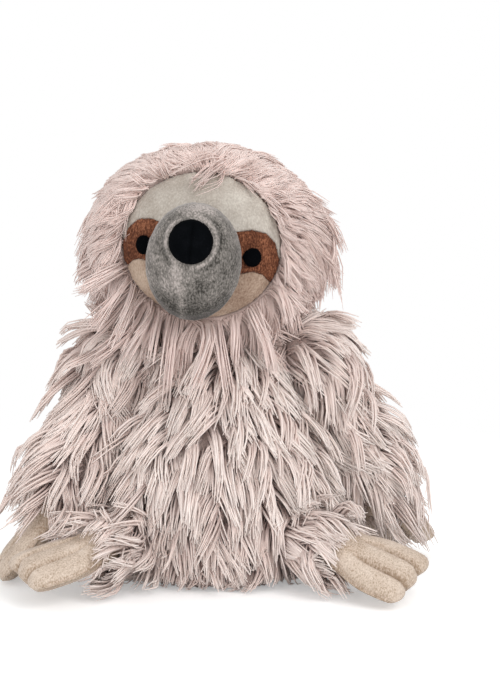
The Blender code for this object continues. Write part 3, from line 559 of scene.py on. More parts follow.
def merged_mesh(name: str) -> bmesh.types.BMesh:
    """Copy of a CAD node's mesh, with its loose triangles joined."""
    form = bmesh.new()
    form.from_mesh(frame["nodes"][name].data)
    bmesh.ops.remove_doubles(form, verts=form.verts, dist=1e-6)
    return form


def surface_of(name: str) -> BVHTree:
    """Search tree of a CAD node's surface."""
    form = merged_mesh(name)
    tree = BVHTree.FromBMesh(form)
    form.free()
    return tree


def linked(name: str, mesh: Mesh) -> Object:
    """Object with this mesh, in the scene."""
    thing = bpy.data.objects.new(name, mesh)
    bpy.context.scene.collection.objects.link(thing)
    return thing


def settled(thing: Object) -> Object:
    """Make the object's mesh what its modifiers give, and take them off."""
    graph = bpy.context.evaluated_depsgraph_get()
    mesh = bpy.data.meshes.new_from_object(thing.evaluated_get(graph), depsgraph=graph)
    thing.modifiers.clear()
    thing.data = mesh
    mesh.name = thing.name
    return thing


def remeshed(name: str, form: bmesh.types.BMesh, voxel: float, rounds: int) -> Object:
    """Even mesh of a closed form, smoothed.

    Args:
        name: The object's name.
        form: The closed form, which is freed.
        voxel: Size of the mesh's squares.
        rounds: How often it is smoothed.

    Returns:
        The new object.
    """
    mesh = bpy.data.meshes.new(name)
    form.to_mesh(mesh)
    form.free()
    thing = linked(name, mesh)
    remesh = thing.modifiers.new("even", "REMESH")
    remesh.mode = "VOXEL"
    remesh.voxel_size = voxel
    remesh.use_smooth_shade = True
    smooth = thing.modifiers.new("soft", "SMOOTH")
    smooth.factor = 0.5
    smooth.iterations = rounds
    return settled(thing)


def points_of(mesh: Mesh) -> tuple[Array, Array]:
    """Points and outward directions of a mesh's vertices."""
    places = np.empty(len(mesh.vertices) * 3)
    normals = np.empty(len(mesh.vertices) * 3)
    mesh.vertices.foreach_get("co", places)
    mesh.vertices.foreach_get("normal", normals)
    return places.reshape(-1, 3), normals.reshape(-1, 3)


def unit(vectors: Array) -> Array:
    """The same directions with length one."""
    return vectors / np.maximum(np.linalg.norm(vectors, axis=1, keepdims=True), 1e-9)


def flat_on(vectors: Array, normals: Array) -> Array:
    """The vectors laid along the surface."""
    return vectors - normals * np.sum(vectors * normals, axis=1, keepdims=True)


def clamped(values: Array) -> Array:
    """The values, kept from zero to one."""
    return np.clip(values, 0.0, 1.0)


def between(least: float, shares: Array) -> Array:
    """This least value where the share is zero, and one where it is one."""
    return least + (1.0 - least) * shares


def behind(normals: Array) -> Array:
    """One where the skin faces backwards, falling to nothing at its sides."""
    return clamped(normals[:, 1] * 1.5)


def store(mesh: Mesh, name: str, values: Array) -> None:
    """Keep a number or a vector for each point of a mesh under this name."""
    kind, part = ("FLOAT", "value") if values.ndim == 1 else ("FLOAT_VECTOR", "vector")
    stored = mesh.attributes.new(name, kind, "POINT")
    stored.data.foreach_set(part, values.astype(np.float32).ravel())


def swirl(places: Array, size: float, seed: float) -> Array:
    """Slow random directions over the surface, which vary over this size."""
    shift = Vector((seed, seed * 1.7, -seed))
    return np.array([noise.noise_vector(Vector(place) / size + shift) for place in places])


@dataclass(frozen=True)
class FaceFrame:
    """Axes of the face: across to the toy's left, up, and out, from the head's centre."""

    centre: tuple[float, float, float] = (-0.007, -0.006, 0.22398)
    yaw: float = 6.0
    pitch: float = 5.9
    roll: float = 5.8

    def axes(self) -> Array:
        """Rows are the directions across, up and out."""
        yaw, pitch, roll = (math.radians(angle) for angle in (self.yaw, self.pitch, self.roll))
        out = Vector((-math.sin(yaw), -math.cos(yaw), 0.0)) * math.cos(pitch)
        out.z = math.sin(pitch)
        level = Vector((math.cos(yaw), -math.sin(yaw), 0.0))
        up = out.cross(level) * math.cos(roll) + level * math.sin(roll)
        return np.array((up.cross(out), up, out))

    def local(self, places: Array) -> Array:
        """Places across, up and out from the head's centre."""
        return (places - np.array(self.centre)) @ self.axes().T

    def world(self, places: Array) -> Array:
        """Places in the world, from places across, up and out."""
        return places @ self.axes() + np.array(self.centre)


@dataclass
class Coat:
    """Long pile on one stuffed form: the dense lower pile and the strands that grow from it."""

    body: str
    node: str
    filling: str
    length: float
    fur: str = "body_fur"
    strands: float = 190000.0
    locks: float = 16500.0
    lift: float = 0.95
    droop: float = 0.22
    follow: float = 0.78
    gather: float = 0.45
    spread: float = 0.32
    lock_spread: float = 0.62
    wave: float = 0.17
    fluff: float = 0.012
    shade: float = 0.5
    mottle: float = 0.35
    mottle_size: float = 0.03
    loft: float = 0.019
    pale: float = 0.0
    radius: float = 0.00092
    rings: int = 6
    seed: int = 1
    wall: float = 0.0050
    sink: float = 0.0025
    sink_from: float = 0.0045
    sink_over: float = 0.004
    voxel: float = 0.0028
    tucked_from: float = 0.003
    tucked_over: float = 0.003
    tucked_length: float = 0.55
    tucked_lift: float = 0.3

    def build(self, tree: FurTree, materials: Materials, hull: Object) -> list:
        """Make the lower pile and its strands.

        Args:
            tree: The tree that grows strands.
            materials: The finished materials by name.
            hull: The skin of the whole toy, which strands stay out of.

        Returns:
            The new pieces.
        """
        pile = remeshed(f"{self.name()}_pile", merged_mesh(self.node), self.voxel, 3)
        places, normals = points_of(pile.data)
        sunk = clamped((self.above_filling(places) - self.sink_from) / self.sink_over) * self.sink
        pile.data.vertices.foreach_set("co", (places - normals * sunk[:, None]).ravel())
        pile.data.materials.clear()
        pile.data.materials.append(materials["under"])
        strands = self.dress(pile, tree, materials, hull)
        self.declare(pile)
        return [pile, *strands]

    def dress(self, pile: Object, tree: FurTree, materials: dict, hull: Object) -> list:
        """Grow this coat's strands on a lower pile."""
        skin = self.skin(pile, hull)
        strands = self.grow(skin, tree, materials[self.fur], hull)
        bpy.data.objects.remove(skin)
        for piece in strands:
            self.declare(piece)
        return strands

    def declare(self, piece: Object) -> None:
        """Let a piece stand for the cover and move with its body."""
        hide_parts(self.node)
        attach(piece, self.body)

    def name(self) -> str:
        """Plain name of the form that wears the coat."""
        return self.node.replace("_cover", "")

    def skin(self, pile: Object, hull: Object) -> Object:
        """Copy of the pile with the values that its strands grow by."""
        skin = linked(f"{pile.name}_skin", pile.data.copy())
        places, normals = points_of(skin.data)
        free = height_over(hull, places) + self.sink + self.tucked_from
        free = clamped(free / self.tucked_over + 1.0)
        lengths = self.lengths(places, normals)
        for name, value in (
            ("cover", self.cover(places, normals) * (self.above_filling(places) > self.wall)),
            ("length", lengths * between(self.tucked_length, free)),
            ("lift", self.lifts(places, normals) * lengths * between(self.tucked_lift, free)),
            ("free", free),
            ("shade", self.shades(places, normals)),
            ("pale", self.pales(places, normals)),
            ("fluff", self.fluff * self.fluffs(places, normals)),
            ("thick", self.thicknesses(places, normals)),
            ("loft", self.lofts(places, normals)),
            ("comb", unit(flat_on(self.comb(places, normals), normals))),
            ("out", normals),
        ):
            store(skin.data, name, value)
        return skin

    def above_filling(self, places: Array) -> Array:
        """Distance of each place from the form's filling."""
        inside = surface_of(self.filling)
        return np.array([inside.find_nearest(Vector(place))[3] for place in places])

    def parts(self, places: Array) -> dict[str, Array]:
        """Which vertices grow which piece of fur: one piece, unless a form says otherwise."""
        return {"": np.ones(len(places))}

    def grow(self, skin: Object, tree: FurTree, fur: Material, hull: Object) -> list:
        """Strands on the skin, as one plain mesh for each part."""
        cover = np.empty(len(skin.data.vertices), np.float32)
        skin.data.attributes["cover"].data.foreach_get("value", cover)
        chosen = {
            "Body": hull, "Strands": self.strands, "Locks": self.locks, "Radius": self.radius,
            "Droop": self.droop, "Follow": self.follow, "Gather": self.gather, "Spread": self.spread,
            "Lock Spread": self.lock_spread, "Wave": self.wave, "Rings": self.rings, "Material": fur,
        }
        grown = []
        for index, (part, share) in enumerate(self.parts(points_of(skin.data)[0]).items()):
            patch = linked(f"{self.name()}_fur{part}", skin.data.copy())
            kept = (cover * share).astype(np.float32)
            patch.data.attributes["cover"].data.foreach_set("value", kept)
            grown.append(run_tree(patch, tree.tree, {**chosen, "Seed": self.seed + 100 * index}))
            LOG.info("%s: %d faces", patch.name, len(patch.data.polygons))
        return grown

    def cover(self, places: Array, normals: Array) -> Array:
        """How densely the strands stand at each place, up to one."""
        return np.ones(len(places))

    def lengths(self, places: Array, normals: Array) -> Array:
        """Length of the strands at each place."""
        return np.full(len(places), self.length)

    def lifts(self, places: Array, normals: Array) -> Array:
        """How far the strands stand up from the skin, as a share of their length."""
        return np.full(len(places), self.lift)

    def shades(self, places: Array, normals: Array) -> Array:
        """Tone of the strands at each place, from dark at zero to light at one."""
        return clamped(self.shade + self.mottle * swirl(places, self.mottle_size, self.seed)[:, 0])

    def pales(self, places: Array, normals: Array) -> Array:
        """How much of the painted shade at the root each strand lacks, up to one."""
        return np.full(len(places), self.pale)

    def fluffs(self, places: Array, normals: Array) -> Array:
        """Share of the coat's fluff at each place, which holds the tips off the body."""
        return np.ones(len(places))

    def lofts(self, places: Array, normals: Array) -> Array:
        """How far the strands may stand off the body: less behind."""
        return self.loft * (1.0 - 0.5 * behind(normals))

    def thicknesses(self, places: Array, normals: Array) -> Array:
        """Thickness of the strands at each place, as a share of the coat's own."""
        return np.ones(len(places))

    def comb(self, places: Array, normals: Array) -> Array:
        """The way that the pile lies at each place."""
        raise NotImplementedError


@dataclass
class TorsoCoat(Coat):
    """Fur of the torso, which hangs in locks over the belly and down to the floor."""

    neck_height: float = 0.145
    dome_radius: float = 0.042
    seat_gap: float = 0.002
    seat_fade: float = 0.004
    low_length: float = 0.62
    short_below: float = 0.06
    back_share: float = 0.85
    lap: float = 0.08
    # Painted shade near the floor: how much darker the strands and their roots get there.
    low_painted_shade: float = 0.9
    low_painted_root_shade: float = 1.2
    outward: float = 0.5
    unruly: float = 0.7
    curl: float = 0.024
    skirt: float = 0.07
    ragged: float = 0.014
    ragged_size: float = 0.012

    def cover(self, places: Array, normals: Array) -> Array:
        """None on the seat, which the toy sits on, nor under the head."""
        seat = clamped((places[:, 2] - self.seat_gap) / self.seat_fade) * (normals[:, 2] > -0.8)
        return seat * (places[:, 2] < self.neck_height + self.dome_radius * 0.5)

    def lengths(self, places: Array, normals: Array) -> Array:
        """Shorter near the floor."""
        return self.length * between(self.low_length, clamped(places[:, 2] / self.short_below))

    def lifts(self, places: Array, normals: Array) -> Array:
        """Full in front and flatter behind."""
        return self.lift * self.fluffs(places, normals)

    def fluffs(self, places: Array, normals: Array) -> Array:
        """Full in front and flatter behind."""
        return 1.0 - self.back_share * behind(normals)

    def shades(self, places: Array, normals: Array) -> Array:
        """Darker towards the floor: painted shade near the floor."""
        return clamped(super().shades(places, normals) - self.low_painted_shade * self.low(places))

    def pales(self, places: Array, normals: Array) -> Array:
        """More painted shade at the roots towards the floor."""
        return self.pale - self.low_painted_root_shade * self.low(places)

    def low(self, places: Array) -> Array:
        """One on the floor, falling to nothing over the lap."""
        return clamped(1.0 - places[:, 2] / self.lap)

    def comb(self, places: Array, normals: Array) -> Array:
        """Down and a little outwards, in slow swirls."""
        outward = normals * np.array((self.outward, self.outward, 0.0))
        return np.array((0.0, 0.0, -1.0)) + outward + self.unruly * swirl(places, self.curl, self.seed)

    def parts(self, places: Array) -> dict[str, Array]:
        """Front, back and the low skirt, parted along a ragged line."""
        ragged = self.ragged * swirl(places, self.ragged_size, self.seed)
        return quarters(places[:, 1] < ragged[:, 0], places[:, 2] < self.skirt + ragged[:, 1], "")


@dataclass
class LimbCoat(Coat):
    """Fur of an arm or a leg, which parts along its inner third and falls to both sides."""

    pivot: tuple[float, float, float] = (0.0, 0.0, 0.0)
    end: tuple[float, float, float] = (0.0, 0.0, 0.0)
    half_width: float = 0.022
    parting: float = -0.35
    outward: float = 0.7
    root_share: float = 0.4
    root_length: float = 0.04
    cuff_share: float = 0.0
    cuff_outward: float = 1.0
    cuff_close: float = 0.6
    cuff: float = 0.03
    weight: float = 0.3
    over: float = 1.2
    over_length: float = 0.012
    back_share: float = 0.55
    curl: float = 0.02

    def lengths(self, places: Array, normals: Array) -> Array:
        """Longer at the cuff, where the fur hangs over the mitten."""
        return self.length * (1.0 + self.cuff_share * self.at_cuff(places))

    def at_cuff(self, places: Array) -> Array:
        """One at the cuff, falling to nothing up the limb."""
        run = np.linalg.norm(np.array(self.end) - np.array(self.pivot))
        return clamped((self.way(places) - (run - self.cuff)) / self.cuff)

    def along(self) -> Array:
        """Direction from the limb's root to its cuff."""
        run = np.array(self.end) - np.array(self.pivot)
        return run / np.linalg.norm(run)

    def side(self) -> Array:
        """Direction away from the body, square to the limb."""
        out = np.array((math.copysign(1.0, self.pivot[0]), 0.0, 0.0))
        out = out - self.along() * (out @ self.along())
        return out / np.linalg.norm(out)

    def across(self, places: Array) -> Array:
        """How far out from the limb's middle: -1 on the body's side, 1 on the outer side."""
        return (places - np.array(self.pivot)) @ self.side() / self.half_width

    def way(self, places: Array) -> Array:
        """Distance down the limb from its root."""
        return (places - np.array(self.pivot)) @ self.along()

    def comb(self, places: Array, normals: Array) -> Array:
        """Along the limb, away from the parting, and outwards over the top of the root."""
        away = np.clip((self.across(places) - self.parting) * 1.4, -0.6, 1.0) * self.outward
        away = away * np.clip(self.way(places) / self.root_length, 0.2, 1.0)
        away = away * (1.0 + (self.cuff_outward - 1.0) * self.at_cuff(places))
        over = self.over * clamped(-self.way(places) / self.over_length)
        down = np.array((0.0, 0.0, -self.weight))
        sideways = (away + over)[:, None] * self.side()
        return self.along() + down + sideways + 0.5 * swirl(places, self.curl, self.seed)

    def lifts(self, places: Array, normals: Array) -> Array:
        """Fullest along the outer side, and pressed flat on top of the root."""
        outer = clamped(normals @ self.side())
        return self.lift * (0.8 + 0.4 * outer) * self.fluffs(places, normals)

    def fluffs(self, places: Array, normals: Array) -> Array:
        """Pressed flat on top of the root, behind, and at a long cuff."""
        outer = clamped(normals @ self.side() * 1.6 - 0.3 - 1.5 * np.maximum(normals[:, 2], 0.0))
        way = np.maximum(clamped(self.way(places) / self.root_length), outer)
        close = 1.0 - self.cuff_close * min(self.cuff_share, 1.0) * self.at_cuff(places)
        return between(self.root_share, way) * (1.0 - self.back_share * behind(normals)) * close


@dataclass
class HeadCoat(Coat):
    """Fur of the hood, which streams away from the face: short on the crown, long under the chin."""

    fur: str = "head_fur"
    face: FaceFrame = field(default_factory=FaceFrame)
    rim_radius: float = 0.054
    rim_width: float = 0.0055
    rim_depth: float = 0.02
    rim_cover: float = 3.5
    rim_short: float = 0.4
    rim_curl: float = 0.004
    chin_thickness: float = 0.6
    chin_loft: float = 0.1
    crown_share: float = 0.6
    chin_share: float = 1.6
    tucked_share: float = 0.55
    beside_share: float = 0.6
    back_share: float = 0.5
    stream: float = 1.2
    hang: float = 0.4
    back_hang: float = 0.9
    unruly: float = 0.4
    curl: float = 0.02
    # Painted light and shade from the crown down to the chin.
    high_shade: float = 0.15
    parted_at: float = -0.004

    def outwards(self, places: Array) -> Array:
        """Directions from the head's centre."""
        return unit(places - np.array(self.face.centre))

    def high(self, places: Array) -> Array:
        """One on the crown, falling to nothing at the head's middle."""
        return clamped(self.outwards(places)[:, 2])

    def deep(self, places: Array, times: float = 1.0) -> Array:
        """One under the chin, falling to nothing at the head's middle: the sooner, the more times."""
        return clamped(-times * self.outwards(places)[:, 2])

    def left(self, places: Array) -> Array:
        """One at the head's own left, falling to nothing in its middle."""
        return clamped(self.outwards(places)[:, 0])

    def rim(self, places: Array) -> Array:
        """One at the seam round the face, falling to nothing a few millimetres from it."""
        across, up, out = self.face.local(places).T
        return bump_at(np.hypot(across, up) - self.rim_radius, self.rim_width) * (out > self.rim_depth)

    def cover(self, places: Array, normals: Array) -> Array:
        """Densest at the seam round the face, so that no backing shows there."""
        return (1.0 + self.rim_cover * self.rim(places)) / self.thicknesses(places, normals)

    def thicknesses(self, places: Array, normals: Array) -> Array:
        """Fine on the crown and coarse under the chin."""
        return 1.0 + self.chin_thickness * self.deep(places, 1.6)

    def fluffs(self, places: Array, normals: Array) -> Array:
        """Flatter behind and on the crown."""
        return (1.0 - self.back_share * behind(normals)) * (1.0 - 0.5 * self.high(places))

    def lofts(self, places: Array, normals: Array) -> Array:
        """Free under the chin, where the ruff hangs clear of the chest."""
        return super().lofts(places, normals) + self.chin_loft * self.deep(places, 2.0)

    def pales(self, places: Array, normals: Array) -> Array:
        """Smooth and even on the crown, with little of the painted root shade, and more of it towards the
        chin.
        """
        return np.clip(0.15 + 0.75 * self.outwards(places)[:, 2], 0.0, 0.85)

    def lengths(self, places: Array, normals: Array) -> Array:
        """Short on the crown and long at the sides and under the chin."""
        low = self.deep(places)
        share = 1.0 + (self.crown_share - 1.0) * self.high(places) ** 1.2 + (self.chin_share - 1.0) * low**1.4
        beside = self.left(places) * clamped(low * 3.0)
        short = 1.0 - self.rim_short * self.rim(places) * clamped(1.0 - 3.0 * low)
        return self.length * (share - self.tucked_share * beside) * short

    def lifts(self, places: Array, normals: Array) -> Array:
        """Flat, apart from the sides."""
        level = 1.0 - np.abs(self.outwards(places)[:, 2])
        tucked = self.left(places) * self.deep(places, 3.0)
        return self.lift * (0.75 + 0.5 * level) * (1.0 - self.beside_share * tucked)

    def comb(self, places: Array, normals: Array) -> Array:
        """Away from the face in front, and down with its weight, most of all behind."""
        axis = self.face.axes()[2]
        from_centre = places - np.array(self.face.centre)
        away = unit(from_centre - np.outer(from_centre @ axis, axis))
        back = clamped(-1.4 * (self.outwards(places) @ axis))[:, None]
        down = np.array((0.0, 0.0, -1.0))
        streaming = self.stream * (1.0 - 0.85 * back) * away + (self.hang + self.back_hang * back) * down
        loose = self.rim(places)[:, None] * swirl(places, self.rim_curl, self.seed)
        return streaming + self.unruly * swirl(places, self.curl, self.seed) + loose

    def shades(self, places: Array, normals: Array) -> Array:
        """Lighter under the chin and darker on the crown: painted light under the chin, in the head's shade,
        and painted shade on the crown, where the light from above falls most.
        """
        return clamped(super().shades(places, normals) - self.high_shade * self.outwards(places)[:, 2])

    def parts(self, places: Array) -> dict[str, Array]:
        """Front and back, each above and below the head's middle."""
        front = (places - np.array(self.face.centre)) @ self.face.axes()[2] > self.parted_at
        return quarters(front, places[:, 2] < self.face.centre[2], "_top")


def quarters(front: Array, low: Array, above: str) -> dict[str, Array]:
    """The parts in front and behind, and of each the upper and the low one, by the ends of their names."""
    return {
        f"_front{above}": front & ~low, "_front_low": front & low,
        f"_back{above}": ~front & ~low, "_back_low": ~front & low,
    }


def whole_hull(nodes: list[str], voxel: float) -> Object:
    """One skin round these CAD nodes, with its outward directions stored, which is not shown."""
    form = bmesh.new()
    for name in nodes:
        form.from_mesh(frame["nodes"][name].data)
    bmesh.ops.remove_doubles(form, verts=form.verts, dist=1e-6)
    hull = remeshed("hull_guide", form, voxel, 4)
    store(hull.data, "out", points_of(hull.data)[1])
    return hull


def height_over(hull: Object, places: Array) -> Array:
    """How far each place stands out of the skin round the toy, and below zero inside it."""
    polygons = [tuple(face.vertices) for face in hull.data.polygons]
    skin = BVHTree.FromPolygons([point.co.copy() for point in hull.data.vertices], polygons)
    found = [(Vector(place), skin.find_nearest(Vector(place))) for place in places]
    return np.array([(place - near[0]).dot(near[1]) for place, near in found])


def through(knots: tuple[tuple[float, float], ...], places: Array) -> Array:
    """Smooth curve through knots.

    Args:
        knots: Place and value of each knot, in order.
        places: Where the curve is read.

    Returns:
        The value at each place.
    """
    at, value = (np.array(column) for column in zip(*knots))
    slope = np.gradient(value, at)
    low = np.clip(np.searchsorted(at, places) - 1, 0, len(at) - 2)
    span = at[low + 1] - at[low]
    way = np.clip((places - at[low]) / span, 0.0, 1.0)
    start = (2 * way**3 - 3 * way**2 + 1) * value[low] + (way**3 - 2 * way**2 + way) * span * slope[low]
    end = (3 * way**2 - 2 * way**3) * value[low + 1] + (way**3 - way**2) * span * slope[low + 1]
    return start + end


def bump_at(distance: Array, width: float) -> Array:
    """One at no distance, falling smoothly to nothing beyond this width."""
    return np.exp(-((distance / width) ** 2))


def noise_at(places: Array, size: float, seed: float) -> Array:
    """Slow noise over the places, about from -1 to 1."""
    shift = Vector((seed, -seed, seed * 0.7))
    return np.array([noise.noise(Vector(place) / size + shift) for place in places]) * 1.6


def set_tone(mesh: Mesh, tone: Array) -> None:
    """Store how much lighter or darker the pile is painted at each point, painted light and shade included.
    """
    store(mesh, "tone", np.clip(tone, -1.0, 1.0))


def dress_piece(piece: Object, material: Material, body: str, node: str) -> None:
    """Give a piece its one material, and let it stand for this node on this body."""
    piece.data.materials.clear()
    piece.data.materials.append(material)
    piece.data.shade_smooth()
    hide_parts(node)
    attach(piece, body)


class Seam(Enum):
    """Seams that get their own stitches."""

    MITTEN_EDGE = "edge"
    MITTEN_CHANNEL = "channel"


@dataclass
class Muzzle:
    """Stuffed grey egg, with ridges and grooves raised round the nose and painted light and shade on its nap.

    Places on it are across and up from the face's centre, as it is seen from the front.
    """

    face: FaceFrame
    voxel: float = 0.0011
    ridge: Knots = ((-0.009, -0.010), (-0.007, -0.022), (-0.004, -0.030), (-0.003, -0.044))
    ridge_width: float = 0.0030
    nose_ring: float = 0.0162
    groove_ring: float = 0.0192
    groove_width: float = 0.0017
    halo_width: float = 0.0011
    dimple: tuple[float, float] = (0.0087, -0.0244)
    dimple_width: float = 0.0052
    # The crown is a painted highlight on the muzzle's top.
    crown: tuple[float, float] = (0.005, 0.024)
    crown_width: float = 0.0075
    crown_stretch: float = 1.6
    nose_up: float = 0.0034
    # Painted shade on the muzzle's far side and at its bottom.
    shaded_from: float = 0.010
    shaded_over: float = 0.012
    bottom: float = -0.026
    bottom_over: float = 0.016
    mottle_size: float = 0.009
    relief: float = 0.0007

    def build(self, material: Material) -> Object:
        """Even, rounded mesh of the muzzle, with its relief and painted light and shade."""
        muzzle = remeshed("muzzle", merged_mesh("muzzle_cover"), self.voxel, 14)
        places, normals = points_of(muzzle.data)
        across, up, _ = self.face.local(places).T
        facing = clamped(normals @ self.face.axes()[2] * 2.0 + 0.4)
        ridge = bump_at(self.ridge_distance(across, up), self.ridge_width)
        dimple = bump_at(np.hypot(across - self.dimple[0], up - self.dimple[1]), self.dimple_width)
        radius = np.hypot(across, up - self.nose_up)
        sides = self.beside_nose(across, up)
        groove = bump_at(radius - self.groove_ring, self.groove_width) * sides
        halo = bump_at(radius - self.nose_ring, self.halo_width) * sides
        crown = np.hypot((across - self.crown[0]) / self.crown_stretch, up - self.crown[1])
        far_side = clamped((across - self.shaded_from) / self.shaded_over)
        bottom = clamped((self.bottom - up) / self.bottom_over)
        rest = noise_at(places, self.mottle_size, 4.0)
        # Painted light and shade: painted highlights on the top, on the ridge and on the ring round the nose;
        # painted shade in the groove, in the dimple, on the far side and at the bottom; the rest is random
        # mottle.
        tone = 0.5 * bump_at(crown, self.crown_width) + 0.6 * ridge + 0.7 * halo
        tone += 0.12 * rest - 0.4 * groove - 0.75 * dimple - 0.3 * far_side - 0.95 * bottom
        set_tone(muzzle.data, tone * facing + 0.1 * rest)
        height = (ridge + 0.5 * halo - groove - 1.6 * dimple + 0.5 * rest) * facing * self.relief
        muzzle.data.vertices.foreach_set("co", (places + normals * height[:, None]).ravel())
        dress_piece(muzzle, material, "head", "muzzle_cover")
        return muzzle

    def beside_nose(self, across: Array, up: Array) -> Array:
        """How clearly the rings round the nose show in each direction from it: not above and below it."""
        angle = np.abs(np.degrees(np.arctan2(up - self.nose_up, across)))
        return clamped((95.0 - angle) / 30.0) * (across > 0.0) + clamped((angle - 115.0) / 20.0) * 0.8

    def ridge_distance(self, across: Array, up: Array) -> Array:
        """Distance from the ridge that runs down from the nose."""
        nearest = np.full(len(across), np.inf)
        for (x0, y0), (x1, y1) in zip(self.ridge, self.ridge[1:]):
            run = np.array((x1 - x0, y1 - y0))
            way = clamped(((across - x0) * run[0] + (up - y0) * run[1]) / (run @ run))
            nearest = np.minimum(nearest, np.hypot(across - x0 - way * run[0], up - y0 - way * run[1]))
        return nearest


@dataclass
class FacePanels:
    """Forehead, eye patches and cheeks: short pile, rounded over the filling between its seams."""

    face: FaceFrame
    half_width: float = 0.045
    grown: float = 0.00035
    ragged: float = 0.0003
    ragged_size: float = 0.0013
    mottle: float = 0.4
    mottle_size: float = 0.010
    voxel: float = 0.0010
    rounds: int = 10
    # Each kind lists its node, its material, the name of its pile and a painted light: how much lighter the
    # panel is painted towards the toy's left, or darker where it is below zero.
    kinds: tuple[tuple[str, str, str, float], ...] = (
        ("forehead_panel", "forehead", "forehead_pile", 0.4),
        ("left_eye_patch", "patch", "patch_pile", 0.0),
        ("right_eye_patch", "patch", "patch_pile", 0.0),
        ("left_cheek_panel", "cheek", "cheek_pile", -0.5),
        ("right_cheek_panel", "cheek", "cheek_pile", -0.5),
    )

    def build(self, materials: Materials) -> list:
        """The five panels."""
        made = []
        for node, material, slot, painted_light_slope in self.kinds:
            panel = remeshed(f"{node}_cloth", merged_mesh(node), self.voxel, self.rounds)
            places, normals = points_of(panel.data)
            out = self.face.axes()[2]
            flat = normals - np.outer(normals @ out, out)
            wider = self.grown + self.ragged * noise_at(places, self.ragged_size, 5.0)
            panel.data.vertices.foreach_set("co", (places + flat * wider[:, None]).ravel())
            across = self.face.local(places)[:, 0] / self.half_width
            # Random mottle, and painted light from one side of the panel to the other.
            set_tone(panel.data, self.mottle * noise_at(places, self.mottle_size, 2.0) + painted_light_slope * across)
            dress_piece(panel, materials[material], "head", node)
            made.append(panel)
        return made


class ThreadTree:
    """Geometry Nodes tree that lays parallel threads over a pad, as on an embroidered eye."""

    INPUTS = (
        ("Geometry", "Geometry", None), ("Centre", "Vector", (0.0, 0.0, 0.0)),
        ("Across", "Vector", (1.0, 0.0, 0.0)), ("Up", "Vector", (0.0, 0.0, 1.0)),
        ("Out", "Vector", (0.0, -1.0, 0.0)), ("Radius", "Float", 0.006), ("Pitch", "Float", 0.00045),
        ("Thread", "Float", 0.00026), ("Material", "Material", None),
    )
    FILLED = 1.96
    UNEVEN = (0.94, 1.03)
    SEED = 5
    POINTS = 16
    SIDES = 6
    ABOVE = 0.01

    def __init__(self) -> None:
        """Build the tree once, for both eyes."""
        self.tree = geometry_tree("embroidery", self.INPUTS)
        self._build()

    def _build(self) -> None:
        """Join the whole tree."""
        g = Graph(self.tree)
        given = self.tree.nodes.new("NodeGroupInput").outputs
        count = g.math("FLOOR", g.math("DIVIDE", g.product(given["Radius"], self.FILLED), given["Pitch"]))
        rows = g.add("GeometryNodeMeshLine", {"Count": count}, mode="OFFSET")
        index = g.out(g.add("GeometryNodeInputIndex"))
        middle = g.product(g.math("SUBTRACT", count, 1.0), 0.5)
        level = g.product(g.math("SUBTRACT", index, middle), given["Pitch"])
        spot = g.add("ShaderNodeCombineXYZ", {"X": 0.0, "Y": level, "Z": 0.0})
        rows = g.out(g.add("GeometryNodeSetPosition", {"Geometry": rows, "Position": spot}))
        square = g.product(given["Radius"], given["Radius"])
        square = g.math("SUBTRACT", square, g.product(level, level))
        half = g.product(g.math("SQRT", g.math("MAXIMUM", square, 0.0)), g.random(*self.UNEVEN, self.SEED))
        values = {"Start": (-1.0, 0.0, 0.0), "End": (1.0, 0.0, 0.0)}
        line = g.add("GeometryNodeCurvePrimitiveLine", values, mode="POINTS")
        line = g.add("GeometryNodeResampleCurve", {"Curve": line, "Count": self.POINTS}, mode="COUNT")
        size = g.add("ShaderNodeCombineXYZ", {"X": half, "Y": 1.0, "Z": 1.0})
        laid = g.add("GeometryNodeInstanceOnPoints", {"Points": rows, "Instance": line, "Scale": size})
        laid = g.out(g.add("GeometryNodeRealizeInstances", {"Geometry": laid}))
        flat = g.add("ShaderNodeSeparateXYZ", {"Vector": g.position()})
        place = g.vector("ADD", given["Centre"], g.scaled(given["Across"], flat.outputs["X"]))
        place = g.vector("ADD", place, g.scaled(given["Up"], flat.outputs["Y"]))
        values = {
            "Target Geometry": given["Geometry"], "Ray Direction": g.scaled(given["Out"], -1.0),
            "Source Position": g.vector("ADD", place, g.scaled(given["Out"], self.ABOVE)),
            "Ray Length": 2.0 * self.ABOVE,
        }
        hit = g.add("GeometryNodeRaycast", values)
        values = {"Switch": g.out(hit, "Is Hit"), "False": place, "True": g.out(hit, "Hit Position")}
        landed = g.add("GeometryNodeSwitch", values, input_type="VECTOR")
        laid = g.out(g.add("GeometryNodeSetPosition", {"Geometry": laid, "Position": landed}))
        values = {"Resolution": self.SIDES, "Radius": given["Thread"]}
        profile = g.add("GeometryNodeCurvePrimitiveCircle", values)
        values = {"Curve": laid, "Profile Curve": profile, "Fill Caps": True}
        g.give(g.add("GeometryNodeCurveToMesh", values), given["Material"])


